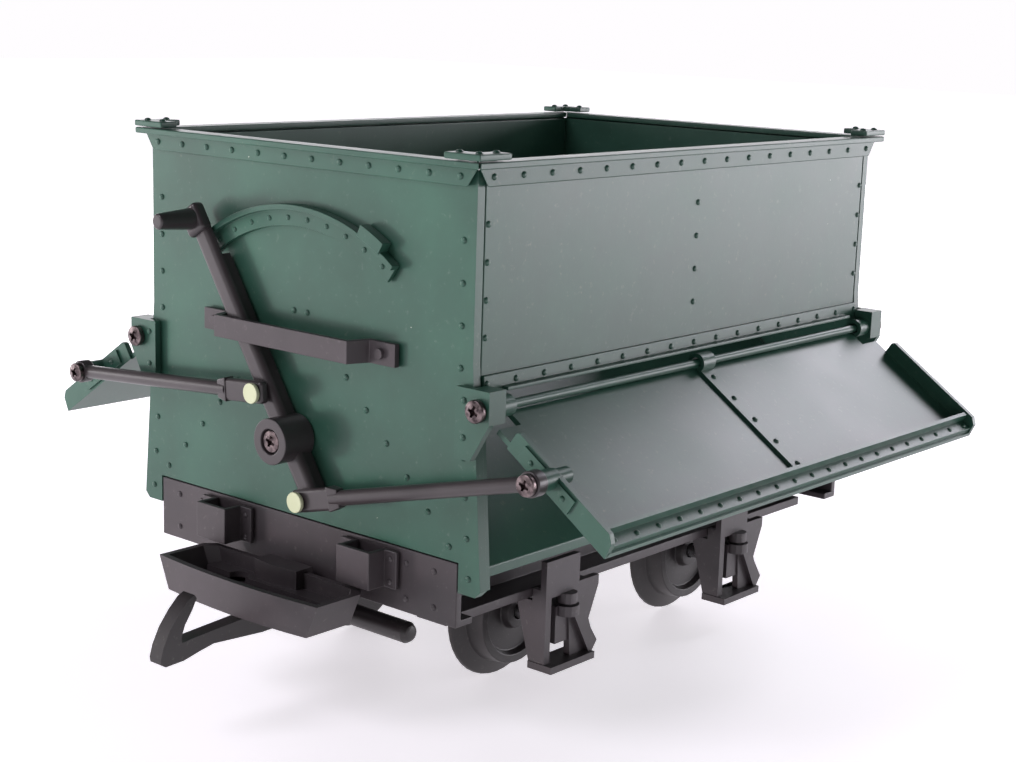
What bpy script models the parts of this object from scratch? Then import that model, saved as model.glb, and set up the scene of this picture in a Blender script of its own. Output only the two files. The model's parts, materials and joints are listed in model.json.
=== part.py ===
"""Side-discharge hopper wagon for 45 mm track, a garden-railway model.

X runs along the track with the discharge lever at -X, Y across it, Z up.
The origin is on the floor, midway between the axles and the wheels.
"Right" is the -Y side and "left" the +Y side, "front" is the lever end.
"""
import math

import bmesh
import bpy
from mathutils import Matrix, Vector

MM = 0.001
GAP = 0.3 * MM                      # clearance kept between pieces that touch

# Hopper box
BOX_LENGTH = 138.4 * MM
BOX_WIDTH = 92.0 * MM
WALL = 2.0 * MM
RIM_TOP = 113.0 * MM
RIM_FLANGE = 1.2 * MM
RIM_LEG = 0.8 * MM
RIM_LEG_DROP = 4.55 * MM
RIM_OVERHANG = 2.65 * MM
RIM_CUT = 2.4 * MM                  # the legs' ends slope back at the corners
GUSSET_ARM = 8.8 * MM
GUSSET_THICK = 1.2 * MM
STRIP_TOP = 73.7 * MM               # riveted strip along the foot of a side wall
STRIP_HEIGHT = 3.4 * MM
STRIP_THICK = 0.8 * MM
LEDGE_OUT = 2.4 * MM                # ledge under the strip, over the hinge rod
LEDGE_THICK = 0.7 * MM
FLARE_TOP = 76.0 * MM               # the end walls widen downwards from here
FLARE_OUT = 3.3 * MM
END_BOTTOM = 31.9 * MM
RETURN_DEPTH = 3.0 * MM
RETURN_THICK = 1.2 * MM
SADDLE_RIDGE = 82.8 * MM            # top of the inverted-V floor, at 45 degrees
SADDLE_THICK = 1.5 * MM

# Doors and their hinges
HINGE_Z = 68.2 * MM
DOOR_OPEN = 34.0                    # degrees below the horizontal at rest
DOOR_REACH = 36.0 * MM
DOOR_FLANGE_START = 8.0 * MM
DOOR_NOTCH = 4.3 * MM               # the sheet starts here beside the brackets
DOOR_START = 0.6 * MM
DOOR_FLANGE_THICK = 1.2 * MM
DOOR_HALF_DEPTH = 2.2 * MM          # flanges stand this far each side of the axis
DOOR_PANEL = 1.1 * MM
LIP_BACK = 32.0 * MM
LIP_TOP = 1.9 * MM
LIP_THICK = 0.9 * MM
ROD_RADIUS = 0.9 * MM
STRAP_WIDTH = 4.4 * MM
STRAP_THICK = 0.6 * MM
CLIP_THICK = 0.9 * MM
BRACKET_THICK = 1.4 * MM
BRACKET_WIDTH = 8.2 * MM
BRACKET_TOP = 72.0 * MM
BRACKET_FOOT = 58.4 * MM
BRACKET_BLOCK = 3.2 * MM            # block behind the bracket plate, along X
BOSS_RADIUS = 2.1 * MM
BOSS_LENGTH = 3.8 * MM
HINGE_SCREW_RADIUS = 2.3 * MM

# Discharge lever, links and quadrant
PIVOT_Z = 54.5 * MM
LEVER_OPEN = 33.3                   # degrees from upright, leaning to +Y
LEVER_LENGTH = 49.5 * MM
LEVER_WIDTH = 4.4 * MM
LEVER_FRONT = 4.5 * MM              # stand-off of the lever's front from the wall
PIVOT_BOSS_RADIUS = 4.7 * MM
PIVOT_BOSS_FRONT = 8.1 * MM
RECESS_DEPTH = 1.2 * MM
UPPER_PIN = 10.6 * MM
LOWER_PIN = 13.1 * MM
PIN_HEAD_RADIUS = 2.1 * MM
PIN_HEAD_THICK = 0.9 * MM
PIN_RADIUS = 0.9 * MM
LINK_BLOCK = 2.2 * MM
LINK_BLOCK_LENGTH = 9.0 * MM
LINK_HEIGHT = 4.6 * MM
LINK_ROD_RADIUS = 1.5 * MM
LINK_EYE_THICK = 2.6 * MM
LINK_EYE_RADIUS = 2.3 * MM
LUG_OFFSET = 0.6 * MM               # lug centre above the hinge plane
LUG_ALONG = 18.7 * MM
LUG_RADIUS = 2.0 * MM
LUG_FRONT = 2.9 * MM
GRIP_LENGTH = 9.5 * MM
GRIP_RADIUS = 1.7 * MM
ARC_RADIUS = 46.6 * MM
ARC_LEG = 4.3 * MM
ARC_FLANGE = 2.4 * MM
ARC_HALF_ANGLE = 36.0
CATCH_FROM = 23.0
CATCH_TO = 31.0
CATCH_HEIGHT = 2.0 * MM
GUARD_BOTTOM = 72.8 * MM
GUARD_HEIGHT = 4.5 * MM
GUARD_THICK = 1.2 * MM
GUARD_SPAN = 19.2 * MM
GUARD_FOOT = 6.8 * MM

# Underframe
HEADSTOCK_TOP = 37.5 * MM
HEADSTOCK_BOTTOM = 24.7 * MM
HEADSTOCK_INSET = 2.6 * MM          # headstock ends short of the box sides
HEADSTOCK_THICK = 1.6 * MM
HEADSTOCK_FLANGE = 4.8 * MM
POCKET_CENTRE = 21.0 * MM
POCKET_WIDTH = 9.0 * MM
POCKET_DEPTH = 5.2 * MM
POCKET_BOTTOM = 29.1 * MM
POCKET_TOP = 36.7 * MM
POCKET_WALL = 1.0 * MM
POCKET_EAR = 3.2 * MM
SOLE_BAR_OUT = 36.4 * MM
SOLE_BAR_BOTTOM = 22.1 * MM
SOLE_BAR_FLANGE = 2.0 * MM
SOLE_BAR_WEB = 1.6 * MM
SOLE_BAR_DEPTH = 8.0 * MM
FLOOR_THICK = 1.4 * MM
WELL_GAP = 1.4 * MM                 # floor cut clear of the wheels
WHEELBASE = 62.8 * MM
TREAD_RADIUS = 11.6 * MM
FLANGE_RADIUS = 15.3 * MM
WHEEL_BACK = 20.4 * MM              # half the distance between the wheel backs
WHEEL_FLANGE = 2.0 * MM
WHEEL_TREAD = 4.8 * MM
WHEEL_DISH = 1.4 * MM
AXLE_RADIUS = 1.5 * MM
AXLE_OUT = 38.2 * MM
GUARD_FACE = 40.3 * MM              # outer face of an axle guard, from the middle
AXLE_GUARD_THICK = 1.5 * MM
AXLE_GUARD_HALF = 7.0 * MM
AXLE_GUARD_TOP = 30.3 * MM
FOOT_BOTTOM = 6.9 * MM
FOOT_THICK = 1.4 * MM
FOOT_OUT = 42.4 * MM

# Couplers
TRAY_FRONT = 17.0 * MM              # tray corners ahead of the headstock face
TRAY_BULGE = 1.4 * MM
TRAY_BACK = 3.2 * MM
TRAY_CORNER = 2.2 * MM
TRAY_HALF_TOP = 23.4 * MM
TRAY_HALF_BOTTOM = 20.5 * MM
TRAY_BOTTOM = 21.2 * MM
TRAY_TOP = 28.0 * MM
TRAY_WALL = 1.3 * MM
TRAY_BLOCK_TOP = 28.8 * MM
DECK_TOP = 24.9 * MM
DECK_THICK = 1.2 * MM
DECK_DEPTH = 5.0 * MM
DECK_NOTCH = 2.4 * MM
DRAWBAR_HALF = 5.0 * MM
DRAWBAR_TOP = 24.3 * MM
DRAWBAR_LENGTH = 15.0 * MM          # pivot behind the headstock face
DRAWBAR_PIN_RADIUS = 1.6 * MM
COLLAR_RADIUS = 4.0 * MM
HOOK_PIVOT_BACK = -4.7 * MM
HOOK_PIVOT_Z = 18.5 * MM
HOOK_ARM_RADIUS = 2.2 * MM
HOOK_ARM_REACH = 27.8 * MM
HOOK_HALF = 1.7 * MM
HOOK_TIP_Z = 28.0 * MM
HOOK_REACH = 36.8 * MM

# Places worked out from the sizes above
HALF_LENGTH = BOX_LENGTH / 2
HALF_WIDTH = BOX_WIDTH / 2
WALL_TOP = RIM_TOP - RIM_FLANGE - GAP
HEADSTOCK_WIDTH = BOX_WIDTH - 2 * HEADSTOCK_INSET
CLIP_RADIUS = ROD_RADIUS + GAP + CLIP_THICK
HINGE_Y = HALF_WIDTH + STRIP_THICK + CLIP_RADIUS + 0.2 * MM
LEDGE_BOTTOM = HINGE_Z + CLIP_RADIUS + GAP
AXLE_Z = FLANGE_RADIUS
PANEL_TOP = DOOR_PANEL - DOOR_HALF_DEPTH
SEGMENTS = 24

MATERIALS = {
    "green_plastic": ((0.055, 0.125, 0.090), 0.42, 0.0),
    "black_plastic": ((0.050, 0.045, 0.048), 0.48, 0.0),
    "ivory_plastic": ((0.640, 0.620, 0.470), 0.45, 0.0),
    "dark_nickel": ((0.230, 0.200, 0.205), 0.32, 1.0),
    "bright_steel": ((0.520, 0.520, 0.530), 0.28, 1.0),
}


# ---------------------------------------------------------------- helpers
def clear_scene():
    for item in list(bpy.data.objects):
        bpy.data.objects.remove(item, do_unlink=True)


def material(name):
    found = bpy.data.materials.get(name)
    if found:
        return found
    colour, roughness, metallic = MATERIALS[name]
    made = bpy.data.materials.new(name)
    made.use_nodes = True
    shader = made.node_tree.nodes["Principled BSDF"]
    shader.inputs["Base Color"].default_value = (*colour, 1.0)
    shader.inputs["Roughness"].default_value = roughness
    shader.inputs["Metallic"].default_value = metallic
    made.diffuse_color = (*colour, 1.0)
    return made


def add(name, bm, finish, parent=None):
    """Put a bmesh in the scene as an object; a parent is an empty on a joint axis."""
    bmesh.ops.recalc_face_normals(bm, faces=bm.faces)
    mesh = bpy.data.meshes.new(name)
    bm.to_mesh(mesh)
    bm.free()
    made = bpy.data.objects.new(name, mesh)
    bpy.context.scene.collection.objects.link(made)
    made.data.materials.append(material(finish))
    made.parent = parent
    return made


def axis_empty(name, place, turn=(0.0, 0.0, 0.0)):
    made = bpy.data.objects.new(name, None)
    bpy.context.scene.collection.objects.link(made)
    made.location = place
    made.rotation_euler = turn
    return made


def prism(outline, start, end, along="x"):
    """Extrude a closed outline: (y, z) along x, (x, z) along y or (x, y) along z."""
    bm = bmesh.new()
    place = {
        "x": lambda a, b, s: (s, a, b),
        "y": lambda a, b, s: (a, s, b),
        "z": lambda a, b, s: (a, b, s),
    }[along]
    base = bm.faces.new([bm.verts.new(place(a, b, start)) for a, b in outline])
    grown = bmesh.ops.extrude_face_region(bm, geom=[base])
    moved = [item for item in grown["geom"] if isinstance(item, bmesh.types.BMVert)]
    shift = Vector(place(0.0, 0.0, end - start))
    bmesh.ops.translate(bm, verts=moved, vec=shift)
    return bm


def box(low, high):
    return prism([(low[1], low[2]), (high[1], low[2]), (high[1], high[2]), (low[1], high[2])],
                 low[0], high[0])


def circle(centre, radius, count=SEGMENTS, start=0.0, end=360.0):
    steps = count if end - start >= 360.0 else count + 1
    angles = [math.radians(start + (end - start) * i / count) for i in range(steps)]
    return [(centre[0] + radius * math.cos(a), centre[1] + radius * math.sin(a)) for a in angles]


def turned(profile, axis="x", centre=(0.0, 0.0, 0.0), count=SEGMENTS):
    """Revolve (distance along, radius) pairs about an axis; ends at radius 0 are closed."""
    bm = bmesh.new()
    verts = [bm.verts.new((along, radius, 0.0)) for along, radius in profile]
    edges = [bm.edges.new(pair) for pair in zip(verts, verts[1:])]
    if profile[0][1] > 0.0 and profile[-1][1] > 0.0:
        edges.append(bm.edges.new((verts[-1], verts[0])))
    bmesh.ops.spin(bm, geom=verts + edges, cent=(0, 0, 0), axis=(1, 0, 0),
                   angle=2 * math.pi, steps=count, use_duplicate=False)
    bmesh.ops.remove_doubles(bm, verts=bm.verts, dist=0.01 * MM)
    turn = {"x": Matrix(), "y": Matrix.Rotation(math.pi / 2, 4, "Z"),
            "z": Matrix.Rotation(-math.pi / 2, 4, "Y")}[axis]
    bmesh.ops.transform(bm, matrix=Matrix.Translation(centre) @ turn, verts=bm.verts)
    return bm


def rod(start, end, radius, axis="x", centre=(0.0, 0.0, 0.0), count=SEGMENTS):
    profile = [(start, 0.0), (start, radius), (end, radius), (end, 0.0)]
    return turned(profile, axis, centre, count)


def combine(target, tool_mesh, operation="DIFFERENCE", label="cutter"):
    """Boolean a second shape into an object; the second shape stays a hidden guide."""
    tool = add(target.name + "_" + label, tool_mesh, "bright_steel", target.parent)
    tool.hide_render = True
    tool.display_type = "WIRE"
    change = target.modifiers.new(label, "BOOLEAN")
    change.object = tool
    change.operation = operation
    change.solver = "EXACT"
    return target


def together(*shapes):
    """Several separate shapes as one mesh, to use as one cutter."""
    first = shapes[0]
    for shape in shapes[1:]:
        mesh = bpy.data.meshes.new("shape")
        shape.to_mesh(mesh)
        shape.free()
        first.from_mesh(mesh)
        bpy.data.meshes.remove(mesh)
    return first


def mirrored(points):
    """Close a half outline given for y >= 0 from bottom to top."""
    return points + [(-a, b) for a, b in reversed(points)]


# ---------------------------------------------------------------- hopper
def end_wall(name, sign):
    """Sheet end of the hopper, with tongues beside the headstock and flared edges."""
    outer = sign * HALF_LENGTH
    inner = sign * (HALF_LENGTH - WALL)
    tongue = HEADSTOCK_WIDTH / 2 + GAP
    foot = HALF_WIDTH + FLARE_OUT
    chamfer = 1.3 * MM
    half = [(tongue, HEADSTOCK_TOP + GAP), (tongue, END_BOTTOM), (foot - chamfer, END_BOTTOM),
            (foot, END_BOTTOM + chamfer), (HALF_WIDTH, FLARE_TOP), (HALF_WIDTH, WALL_TOP)]
    wall = add(name, prism(mirrored(half), outer, inner), "green_plastic")
    slope = FLARE_OUT / (FLARE_TOP - END_BOTTOM)
    top = HINGE_Z - BOSS_RADIUS * 2 - GAP
    bottom = END_BOTTOM + chamfer
    for side in (-1, 1):
        high = HALF_WIDTH + slope * (FLARE_TOP - top)
        low = HALF_WIDTH + slope * (FLARE_TOP - bottom)
        strip = [(side * high, top), (side * low, bottom),
                 (side * (low - RETURN_THICK), bottom), (side * (high - RETURN_THICK), top)]
        reach = outer - sign * RETURN_DEPTH
        combine(wall, prism(strip, outer - sign * WALL / 2, reach), "UNION", "return_%d" % side)
    return wall


def pivot_holes(wall):
    """Bore for the lever's pivot screw in the front end wall."""
    combine(wall, rod(-HALF_LENGTH - WALL, -HALF_LENGTH + 2 * WALL, PIN_RADIUS + 0.6 * MM,
                      centre=(0, 0, PIVOT_Z)), label="pivot_bore")


def side_wall(name, side):
    """Sheet side of the hopper with the riveted strip at its foot."""
    half = HALF_LENGTH - WALL - GAP
    bottom = STRIP_TOP - STRIP_HEIGHT
    outer, inner = side * HALF_WIDTH, side * (HALF_WIDTH - WALL)
    step = side * (HALF_WIDTH + STRIP_THICK)
    outline = [(inner, bottom), (step, bottom), (step, STRIP_TOP), (outer, STRIP_TOP),
               (outer, WALL_TOP), (inner, WALL_TOP)]
    wall = add(name, prism(outline, -half, half), "green_plastic")
    reach = HALF_LENGTH + GAP - BRACKET_BLOCK - BOSS_LENGTH - 2 * GAP
    ledge_out, ledge_top = side * (HALF_WIDTH + LEDGE_OUT), LEDGE_BOTTOM + LEDGE_THICK
    ledge = [(step - side * STRIP_THICK / 2, LEDGE_BOTTOM), (ledge_out, LEDGE_BOTTOM),
             (ledge_out, ledge_top), (step - side * STRIP_THICK / 2, ledge_top)]
    return combine(wall, prism(ledge, -reach, reach), "UNION", "ledge")


def rim_angle(name, along_x, sign):
    """Angle round the top edge: a flange over the sheet and a leg outside it, mitred."""
    half = HALF_LENGTH if along_x else HALF_WIDTH
    face = HALF_WIDTH if along_x else HALF_LENGTH
    outer = face + RIM_OVERHANG
    leg_in = face + GAP
    leg_out = leg_in + RIM_LEG
    under = RIM_TOP - RIM_FLANGE
    foot = RIM_TOP - RIM_LEG_DROP
    outline = [(face - WALL, RIM_TOP), (outer, RIM_TOP), (outer, under), (leg_out, under),
               (leg_out, foot), (leg_in, foot), (leg_in, under), (face - WALL, under)]
    bm = bmesh.new()
    ends = []
    for end in (-1, 1):
        ring = []
        for across, height in outline:
            cut = RIM_CUT if height == foot else 0.0
            reach = end * (half + across - face - GAP * 0.75 - cut)
            spot = (reach, sign * across, height) if along_x else (sign * across, reach, height)
            ring.append(bm.verts.new(spot))
        ends.append(ring)
        bm.faces.new(ring[0:4] + ring[6:8])
        bm.faces.new(ring[3:7])
    count = len(outline)
    for i in range(count):
        j = (i + 1) % count
        bm.faces.new((ends[0][i], ends[0][j], ends[1][j], ends[1][i]))
    return add(name, bm, "green_plastic")


def gusset(name, sx, sy):
    """L-shaped plate that ties two rim angles together at a corner."""
    x, y = HALF_LENGTH + RIM_OVERHANG, HALF_WIDTH + RIM_OVERHANG
    width = RIM_OVERHANG + WALL - 0.4 * MM
    base = RIM_TOP + GAP
    outline = [(x, y), (x - GUSSET_ARM, y), (x - GUSSET_ARM, y - width),
               (x - width - 1.2 * MM, y - width), (x - width, y - width - 1.2 * MM),
               (x - width, y - GUSSET_ARM), (x, y - GUSSET_ARM)]
    plate = prism([(sx * a, sy * b) for a, b in outline], base, base + GUSSET_THICK, "z")
    return add(name, plate, "green_plastic")


def saddle_floor():
    """Inverted-V floor that throws the load to both sides."""
    end = HALF_WIDTH + 0.4 * MM
    drop = SADDLE_THICK * math.sqrt(2.0)
    half = [(0.0, SADDLE_RIDGE - drop), (end, SADDLE_RIDGE - drop - end), (end, SADDLE_RIDGE - end)]
    outline = half + [(0.0, SADDLE_RIDGE)] + [(-a, b) for a, b in reversed(half[1:])]
    reach = HALF_LENGTH - RETURN_DEPTH - GAP
    return add("saddle_floor", prism(outline, -reach, reach), "green_plastic")


# ---------------------------------------------------------------- doors
def hinge_bracket(name, sx, side):
    """Plate on the end wall with a block and a boss that hold the hinge rod."""
    face = HALF_LENGTH + GAP
    front = face + BRACKET_THICK
    inner = HINGE_Y - BRACKET_WIDTH + 2.6 * MM
    outer = HINGE_Y + 2.6 * MM
    under = HINGE_Z - 2.5 * MM
    plate = [(side * inner, BRACKET_FOOT), (side * (inner + 3.8 * MM), BRACKET_FOOT),
             (side * outer, under), (side * outer, BRACKET_TOP), (side * inner, BRACKET_TOP)]
    made = add(name, prism(plate, sx * front, sx * face), "green_plastic")
    near = HALF_WIDTH + GAP + STRIP_THICK
    block = [(side * near, under), (side * outer, under),
             (side * outer, BRACKET_TOP), (side * near, BRACKET_TOP)]
    back = face - BRACKET_BLOCK
    overlap = BRACKET_THICK / 2
    combine(made, prism(block, sx * (face + overlap), sx * back), "UNION", "block")
    centre = (0.0, side * HINGE_Y, HINGE_Z)
    combine(made, rod(sx * (back + overlap), sx * (back - BOSS_LENGTH), BOSS_RADIUS, centre=centre),
            "UNION", "boss")
    combine(made, rod(sx * (front + MM), sx * (back - BOSS_LENGTH - MM), ROD_RADIUS + GAP,
                      centre=centre), label="bore")
    return made


def screw(name, sx, head, head_radius, thick, shank, shank_radius, centre, parent=None):
    """Pan-head screw on an X axis: head front, head thickness and shank length."""
    profile = [(head, 0.0), (head, head_radius * 0.62), (head - sx * thick * 0.45, head_radius),
               (head - sx * thick, head_radius), (head - sx * thick, shank_radius),
               (head - sx * (thick + shank), shank_radius), (head - sx * (thick + shank), 0.0)]
    return add(name, turned(profile, centre=centre), "dark_nickel", parent)


def hinge_screw(name, sx, side):
    front = HALF_LENGTH + GAP + BRACKET_THICK
    thick = 1.3 * MM
    head = sx * (front + GAP + thick)
    return screw(name, sx, head, HINGE_SCREW_RADIUS, thick, GAP + 4.0 * MM, ROD_RADIUS - 0.1 * MM,
                 (0.0, side * HINGE_Y, HINGE_Z))


def hinge_rod(name, side):
    """Rod between the two bosses of one side, on which the door swings."""
    reach = HALF_LENGTH + GAP - BRACKET_BLOCK - BOSS_LENGTH + 2.4 * MM
    return add(name, rod(-reach, reach, ROD_RADIUS, centre=(0.0, side * HINGE_Y, HINGE_Z)),
               "green_plastic")


def door(name, side, hinge):
    """Door as it lies in its own plane: y runs out from the hinge, z stands off the sheet."""
    out = float(side)
    half = HALF_LENGTH - 0.2 * MM
    low = -DOOR_HALF_DEPTH
    start = DOOR_START
    width = half - DOOR_FLANGE_THICK / 2
    notch = HALF_LENGTH + GAP - BRACKET_BLOCK - BOSS_LENGTH - GAP
    sheet = [(-width, DOOR_NOTCH), (-notch, DOOR_NOTCH), (-notch, start), (notch, start),
             (notch, DOOR_NOTCH), (width, DOOR_NOTCH), (width, DOOR_REACH), (-width, DOOR_REACH)]
    made = add(name, prism([(a, out * b) for a, b in sheet], low, PANEL_TOP, "z"), "green_plastic", hinge)
    flange = [(DOOR_FLANGE_START, low), (DOOR_REACH, low), (DOOR_REACH - 0.5 * MM, 1.0 * MM),
              (DOOR_REACH - 1.9 * MM, DOOR_HALF_DEPTH), (DOOR_FLANGE_START + 0.6 * MM, DOOR_HALF_DEPTH),
              (DOOR_FLANGE_START, DOOR_HALF_DEPTH - 0.6 * MM)]
    for sx in (-1, 1):
        cheek = prism([(out * a, b) for a, b in flange], sx * half, sx * (half - DOOR_FLANGE_THICK))
        combine(made, cheek, "UNION", "flange_%d" % sx)
    bury = DOOR_PANEL / 2
    lip = [(LIP_BACK, PANEL_TOP - bury), (DOOR_REACH - 0.6 * MM, PANEL_TOP - bury),
           (DOOR_REACH - 0.6 * MM, 0.0), (LIP_BACK + LIP_THICK, 0.0),
           (LIP_BACK + LIP_THICK, LIP_TOP), (LIP_BACK, LIP_TOP)]
    combine(made, prism([(out * a, b) for a, b in lip], -width, width), "UNION", "lip")
    clip_in, clip_out = ROD_RADIUS + GAP, CLIP_RADIUS
    strap = [(clip_in + 0.3 * MM, PANEL_TOP - bury), (LIP_BACK + 0.4 * MM, PANEL_TOP - bury),
             (LIP_BACK + 0.4 * MM, PANEL_TOP + STRAP_THICK), (clip_in + 0.3 * MM, PANEL_TOP + STRAP_THICK)]
    strap_half = STRAP_WIDTH / 2
    combine(made, prism([(out * a, b) for a, b in strap], -strap_half, strap_half), "UNION", "strap")
    clip = circle((0, 0), clip_out, 14, -40.0, 200.0)
    clip += list(reversed(circle((0, 0), clip_in, 14, -40.0, 200.0)))
    combine(made, prism([(out * a, b) for a, b in clip], -strap_half, strap_half), "UNION", "clip")
    plate_from, plate_to = LUG_ALONG - 7.6 * MM, LUG_ALONG + 6.7 * MM
    doubler = [(plate_from, -1.6 * MM), (plate_to, -1.6 * MM), (plate_to, 1.6 * MM), (plate_from, 1.6 * MM)]
    front = -half - 0.5 * MM
    combine(made, prism([(out * a, b) for a, b in doubler], front, -half + DOOR_FLANGE_THICK / 2),
            "UNION", "doubler")
    centre = (0.0, out * LUG_ALONG, LUG_OFFSET)
    combine(made, rod(-HALF_LENGTH - LUG_FRONT, -half + DOOR_FLANGE_THICK / 2, LUG_RADIUS,
                      centre=centre), "UNION", "lug")
    combine(made, rod(-half, -half + 4.6 * MM, LUG_RADIUS * 0.8, centre=centre), "UNION", "lug_tail")
    combine(made, rod(-HALF_LENGTH - LUG_FRONT - MM, -half + 2.6 * MM, PIN_RADIUS + GAP, centre=centre),
            label="lug_bore")
    return made


# ---------------------------------------------------------------- lever and links
def along_lever(distance, sign=1.0):
    lean = math.radians(LEVER_OPEN)
    return (sign * distance * math.sin(lean), PIVOT_Z + sign * distance * math.cos(lean))


def lug_place(side):
    """World (y, z) of a door's lug with the door open."""
    tilt = math.radians(DOOR_OPEN)
    out = LUG_ALONG * math.cos(tilt) + LUG_OFFSET * math.sin(tilt)
    up = LUG_OFFSET * math.cos(tilt) - LUG_ALONG * math.sin(tilt)
    return (side * (HINGE_Y + out), HINGE_Z + up)


def bar_outline(length_up, length_down, half_width):
    """Outline of the lever in its own plane, round at both ends."""
    top = circle((0.0, length_up), half_width, 8, 0.0, 180.0)
    bottom = circle((0.0, -length_down), half_width, 8, 180.0, 360.0)
    return top + bottom


def discharge_lever(pivot):
    """Two-armed lever with a deep boss; its top is thin, to pass over the quadrant."""
    face = -HALF_LENGTH
    front = face - LEVER_FRONT
    half = LEVER_WIDTH / 2
    thin = face - ARC_FLANGE - 2 * GAP
    made = add("discharge_lever", prism(bar_outline(LEVER_LENGTH, LOWER_PIN, half), front, thin),
               "black_plastic", pivot)
    web_top = ARC_RADIUS - ARC_LEG - 1.6 * MM
    web = [(-half + 0.3 * MM, -LOWER_PIN), (half - 0.3 * MM, -LOWER_PIN),
           (half - 0.3 * MM, web_top), (-half + 0.3 * MM, web_top)]
    combine(made, prism(web, front + 0.5 * MM, face - 2 * GAP), "UNION", "web")
    boss_front = face - PIVOT_BOSS_FRONT
    combine(made, rod(face - GAP, boss_front, PIVOT_BOSS_RADIUS), "UNION", "boss")
    bore, recess = PIN_RADIUS + 2 * GAP, HINGE_SCREW_RADIUS + GAP
    seat = boss_front + RECESS_DEPTH
    bore_profile = [(face + MM, 0.0), (face + MM, bore), (seat, bore), (seat, recess),
                    (boss_front - MM, recess), (boss_front - MM, 0.0)]
    holes = [turned(bore_profile)]
    for height in (UPPER_PIN, -LOWER_PIN):
        holes.append(rod(front - MM, front + 2.6 * MM, PIN_RADIUS + GAP, centre=(0.0, 0.0, height)))
    holes.append(rod(front - MM, front + 1.2 * MM, GRIP_RADIUS * 0.6 + GAP,
                     centre=(0.0, 0.0, LEVER_LENGTH)))
    combine(made, together(*holes), label="holes")
    return made


def lever_grip(pivot):
    """Grip that points out of the lever's top, away from the wall."""
    front = -HALF_LENGTH - LEVER_FRONT
    neck, end = front - GAP, front - GRIP_LENGTH
    profile = [(front + 0.9 * MM, 0.0), (front + 0.9 * MM, GRIP_RADIUS * 0.6), (neck, GRIP_RADIUS * 0.6),
               (neck, LEVER_WIDTH / 2 + 0.3 * MM), (neck - 1.6 * MM, LEVER_WIDTH / 2 + 0.3 * MM),
               (neck - 2.4 * MM, GRIP_RADIUS), (end + 0.8 * MM, GRIP_RADIUS * 0.92),
               (end, GRIP_RADIUS * 0.5), (end, 0.0)]
    return add("lever_grip", turned(profile, centre=(0.0, 0.0, LEVER_LENGTH)), "black_plastic", pivot)


def link_pin(name, pivot, height):
    """Ivory headed pin through a link's end block into the lever."""
    front = -HALF_LENGTH - LEVER_FRONT
    seat = front - GAP - LINK_BLOCK - GAP
    head = seat - PIN_HEAD_THICK
    profile = [(head, 0.0), (head, PIN_HEAD_RADIUS), (seat, PIN_HEAD_RADIUS), (seat, PIN_RADIUS),
               (front + 2.2 * MM, PIN_RADIUS), (front + 2.2 * MM, 0.0)]
    return add(name, turned(profile, centre=(0.0, 0.0, height)), "ivory_plastic", pivot)


def link(name, pin, lug, parent):
    """Link in its own plane: block on the lever pin, tapered crank, rod and eye at the lug."""
    length = math.hypot(lug[0] - pin[0], lug[1] - pin[1])
    back = -HALF_LENGTH - LEVER_FRONT - GAP
    front = back - LINK_BLOCK
    half = LINK_HEIGHT / 2
    nose = circle((0.0, 0.0), half, 10, 90.0, 270.0)
    block_end = LINK_BLOCK_LENGTH
    made = add(name, prism(nose + [(block_end, -half), (block_end, half)], front, back),
               "black_plastic", parent)
    eye_back = -HALF_LENGTH - LUG_FRONT - GAP
    eye_front = eye_back - LINK_EYE_THICK
    middle_start, middle_end = (front + back) / 2, (eye_front + eye_back) / 2
    reach = length - LINK_EYE_RADIUS * 0.5
    rod_from, rod_to = block_end - MM, reach
    run = rod_to - rod_from
    lean = math.atan2(middle_end - middle_start, run)
    shaft = rod(0.0, math.hypot(run, middle_end - middle_start), LINK_ROD_RADIUS)
    place = Matrix.Translation((middle_start, rod_from, 0.0)) @ Matrix.Rotation(math.pi / 2 - lean, 4, "Z")
    bmesh.ops.transform(shaft, matrix=place, verts=shaft.verts)
    combine(made, shaft, "UNION", "rod")
    combine(made, rod(eye_front, eye_back, LINK_EYE_RADIUS, centre=(0.0, length, 0.0)), "UNION", "eye")
    combine(made, rod(front - MM, back + MM, PIN_RADIUS + GAP), label="pin_hole")
    combine(made, rod(eye_front - MM, eye_back + MM, PIN_RADIUS + GAP, centre=(0.0, length, 0.0)),
            label="screw_hole")
    return made


def link_screw(name, length, parent):
    """Screw in a link's eye; it ends just short of the lug, where the loop is open."""
    thick = 1.1 * MM
    eye_front = -HALF_LENGTH - LUG_FRONT - GAP - LINK_EYE_THICK
    return screw(name, -1, eye_front - GAP - thick, HINGE_SCREW_RADIUS - 0.2 * MM, thick,
                 GAP + LINK_EYE_THICK, PIN_RADIUS, (0.0, length, 0.0), parent)


def pivot_screw():
    """Screw that holds the lever's boss, sunk in its face and threaded in the end wall."""
    front = -HALF_LENGTH - PIVOT_BOSS_FRONT
    thick = 0.9 * MM
    seat = front + RECESS_DEPTH - GAP
    return screw("lever_pivot_screw", -1, seat - thick, HINGE_SCREW_RADIUS, thick,
                 PIVOT_BOSS_FRONT + WALL - RECESS_DEPTH, PIN_RADIUS, (0.0, 0.0, PIVOT_Z))


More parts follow.
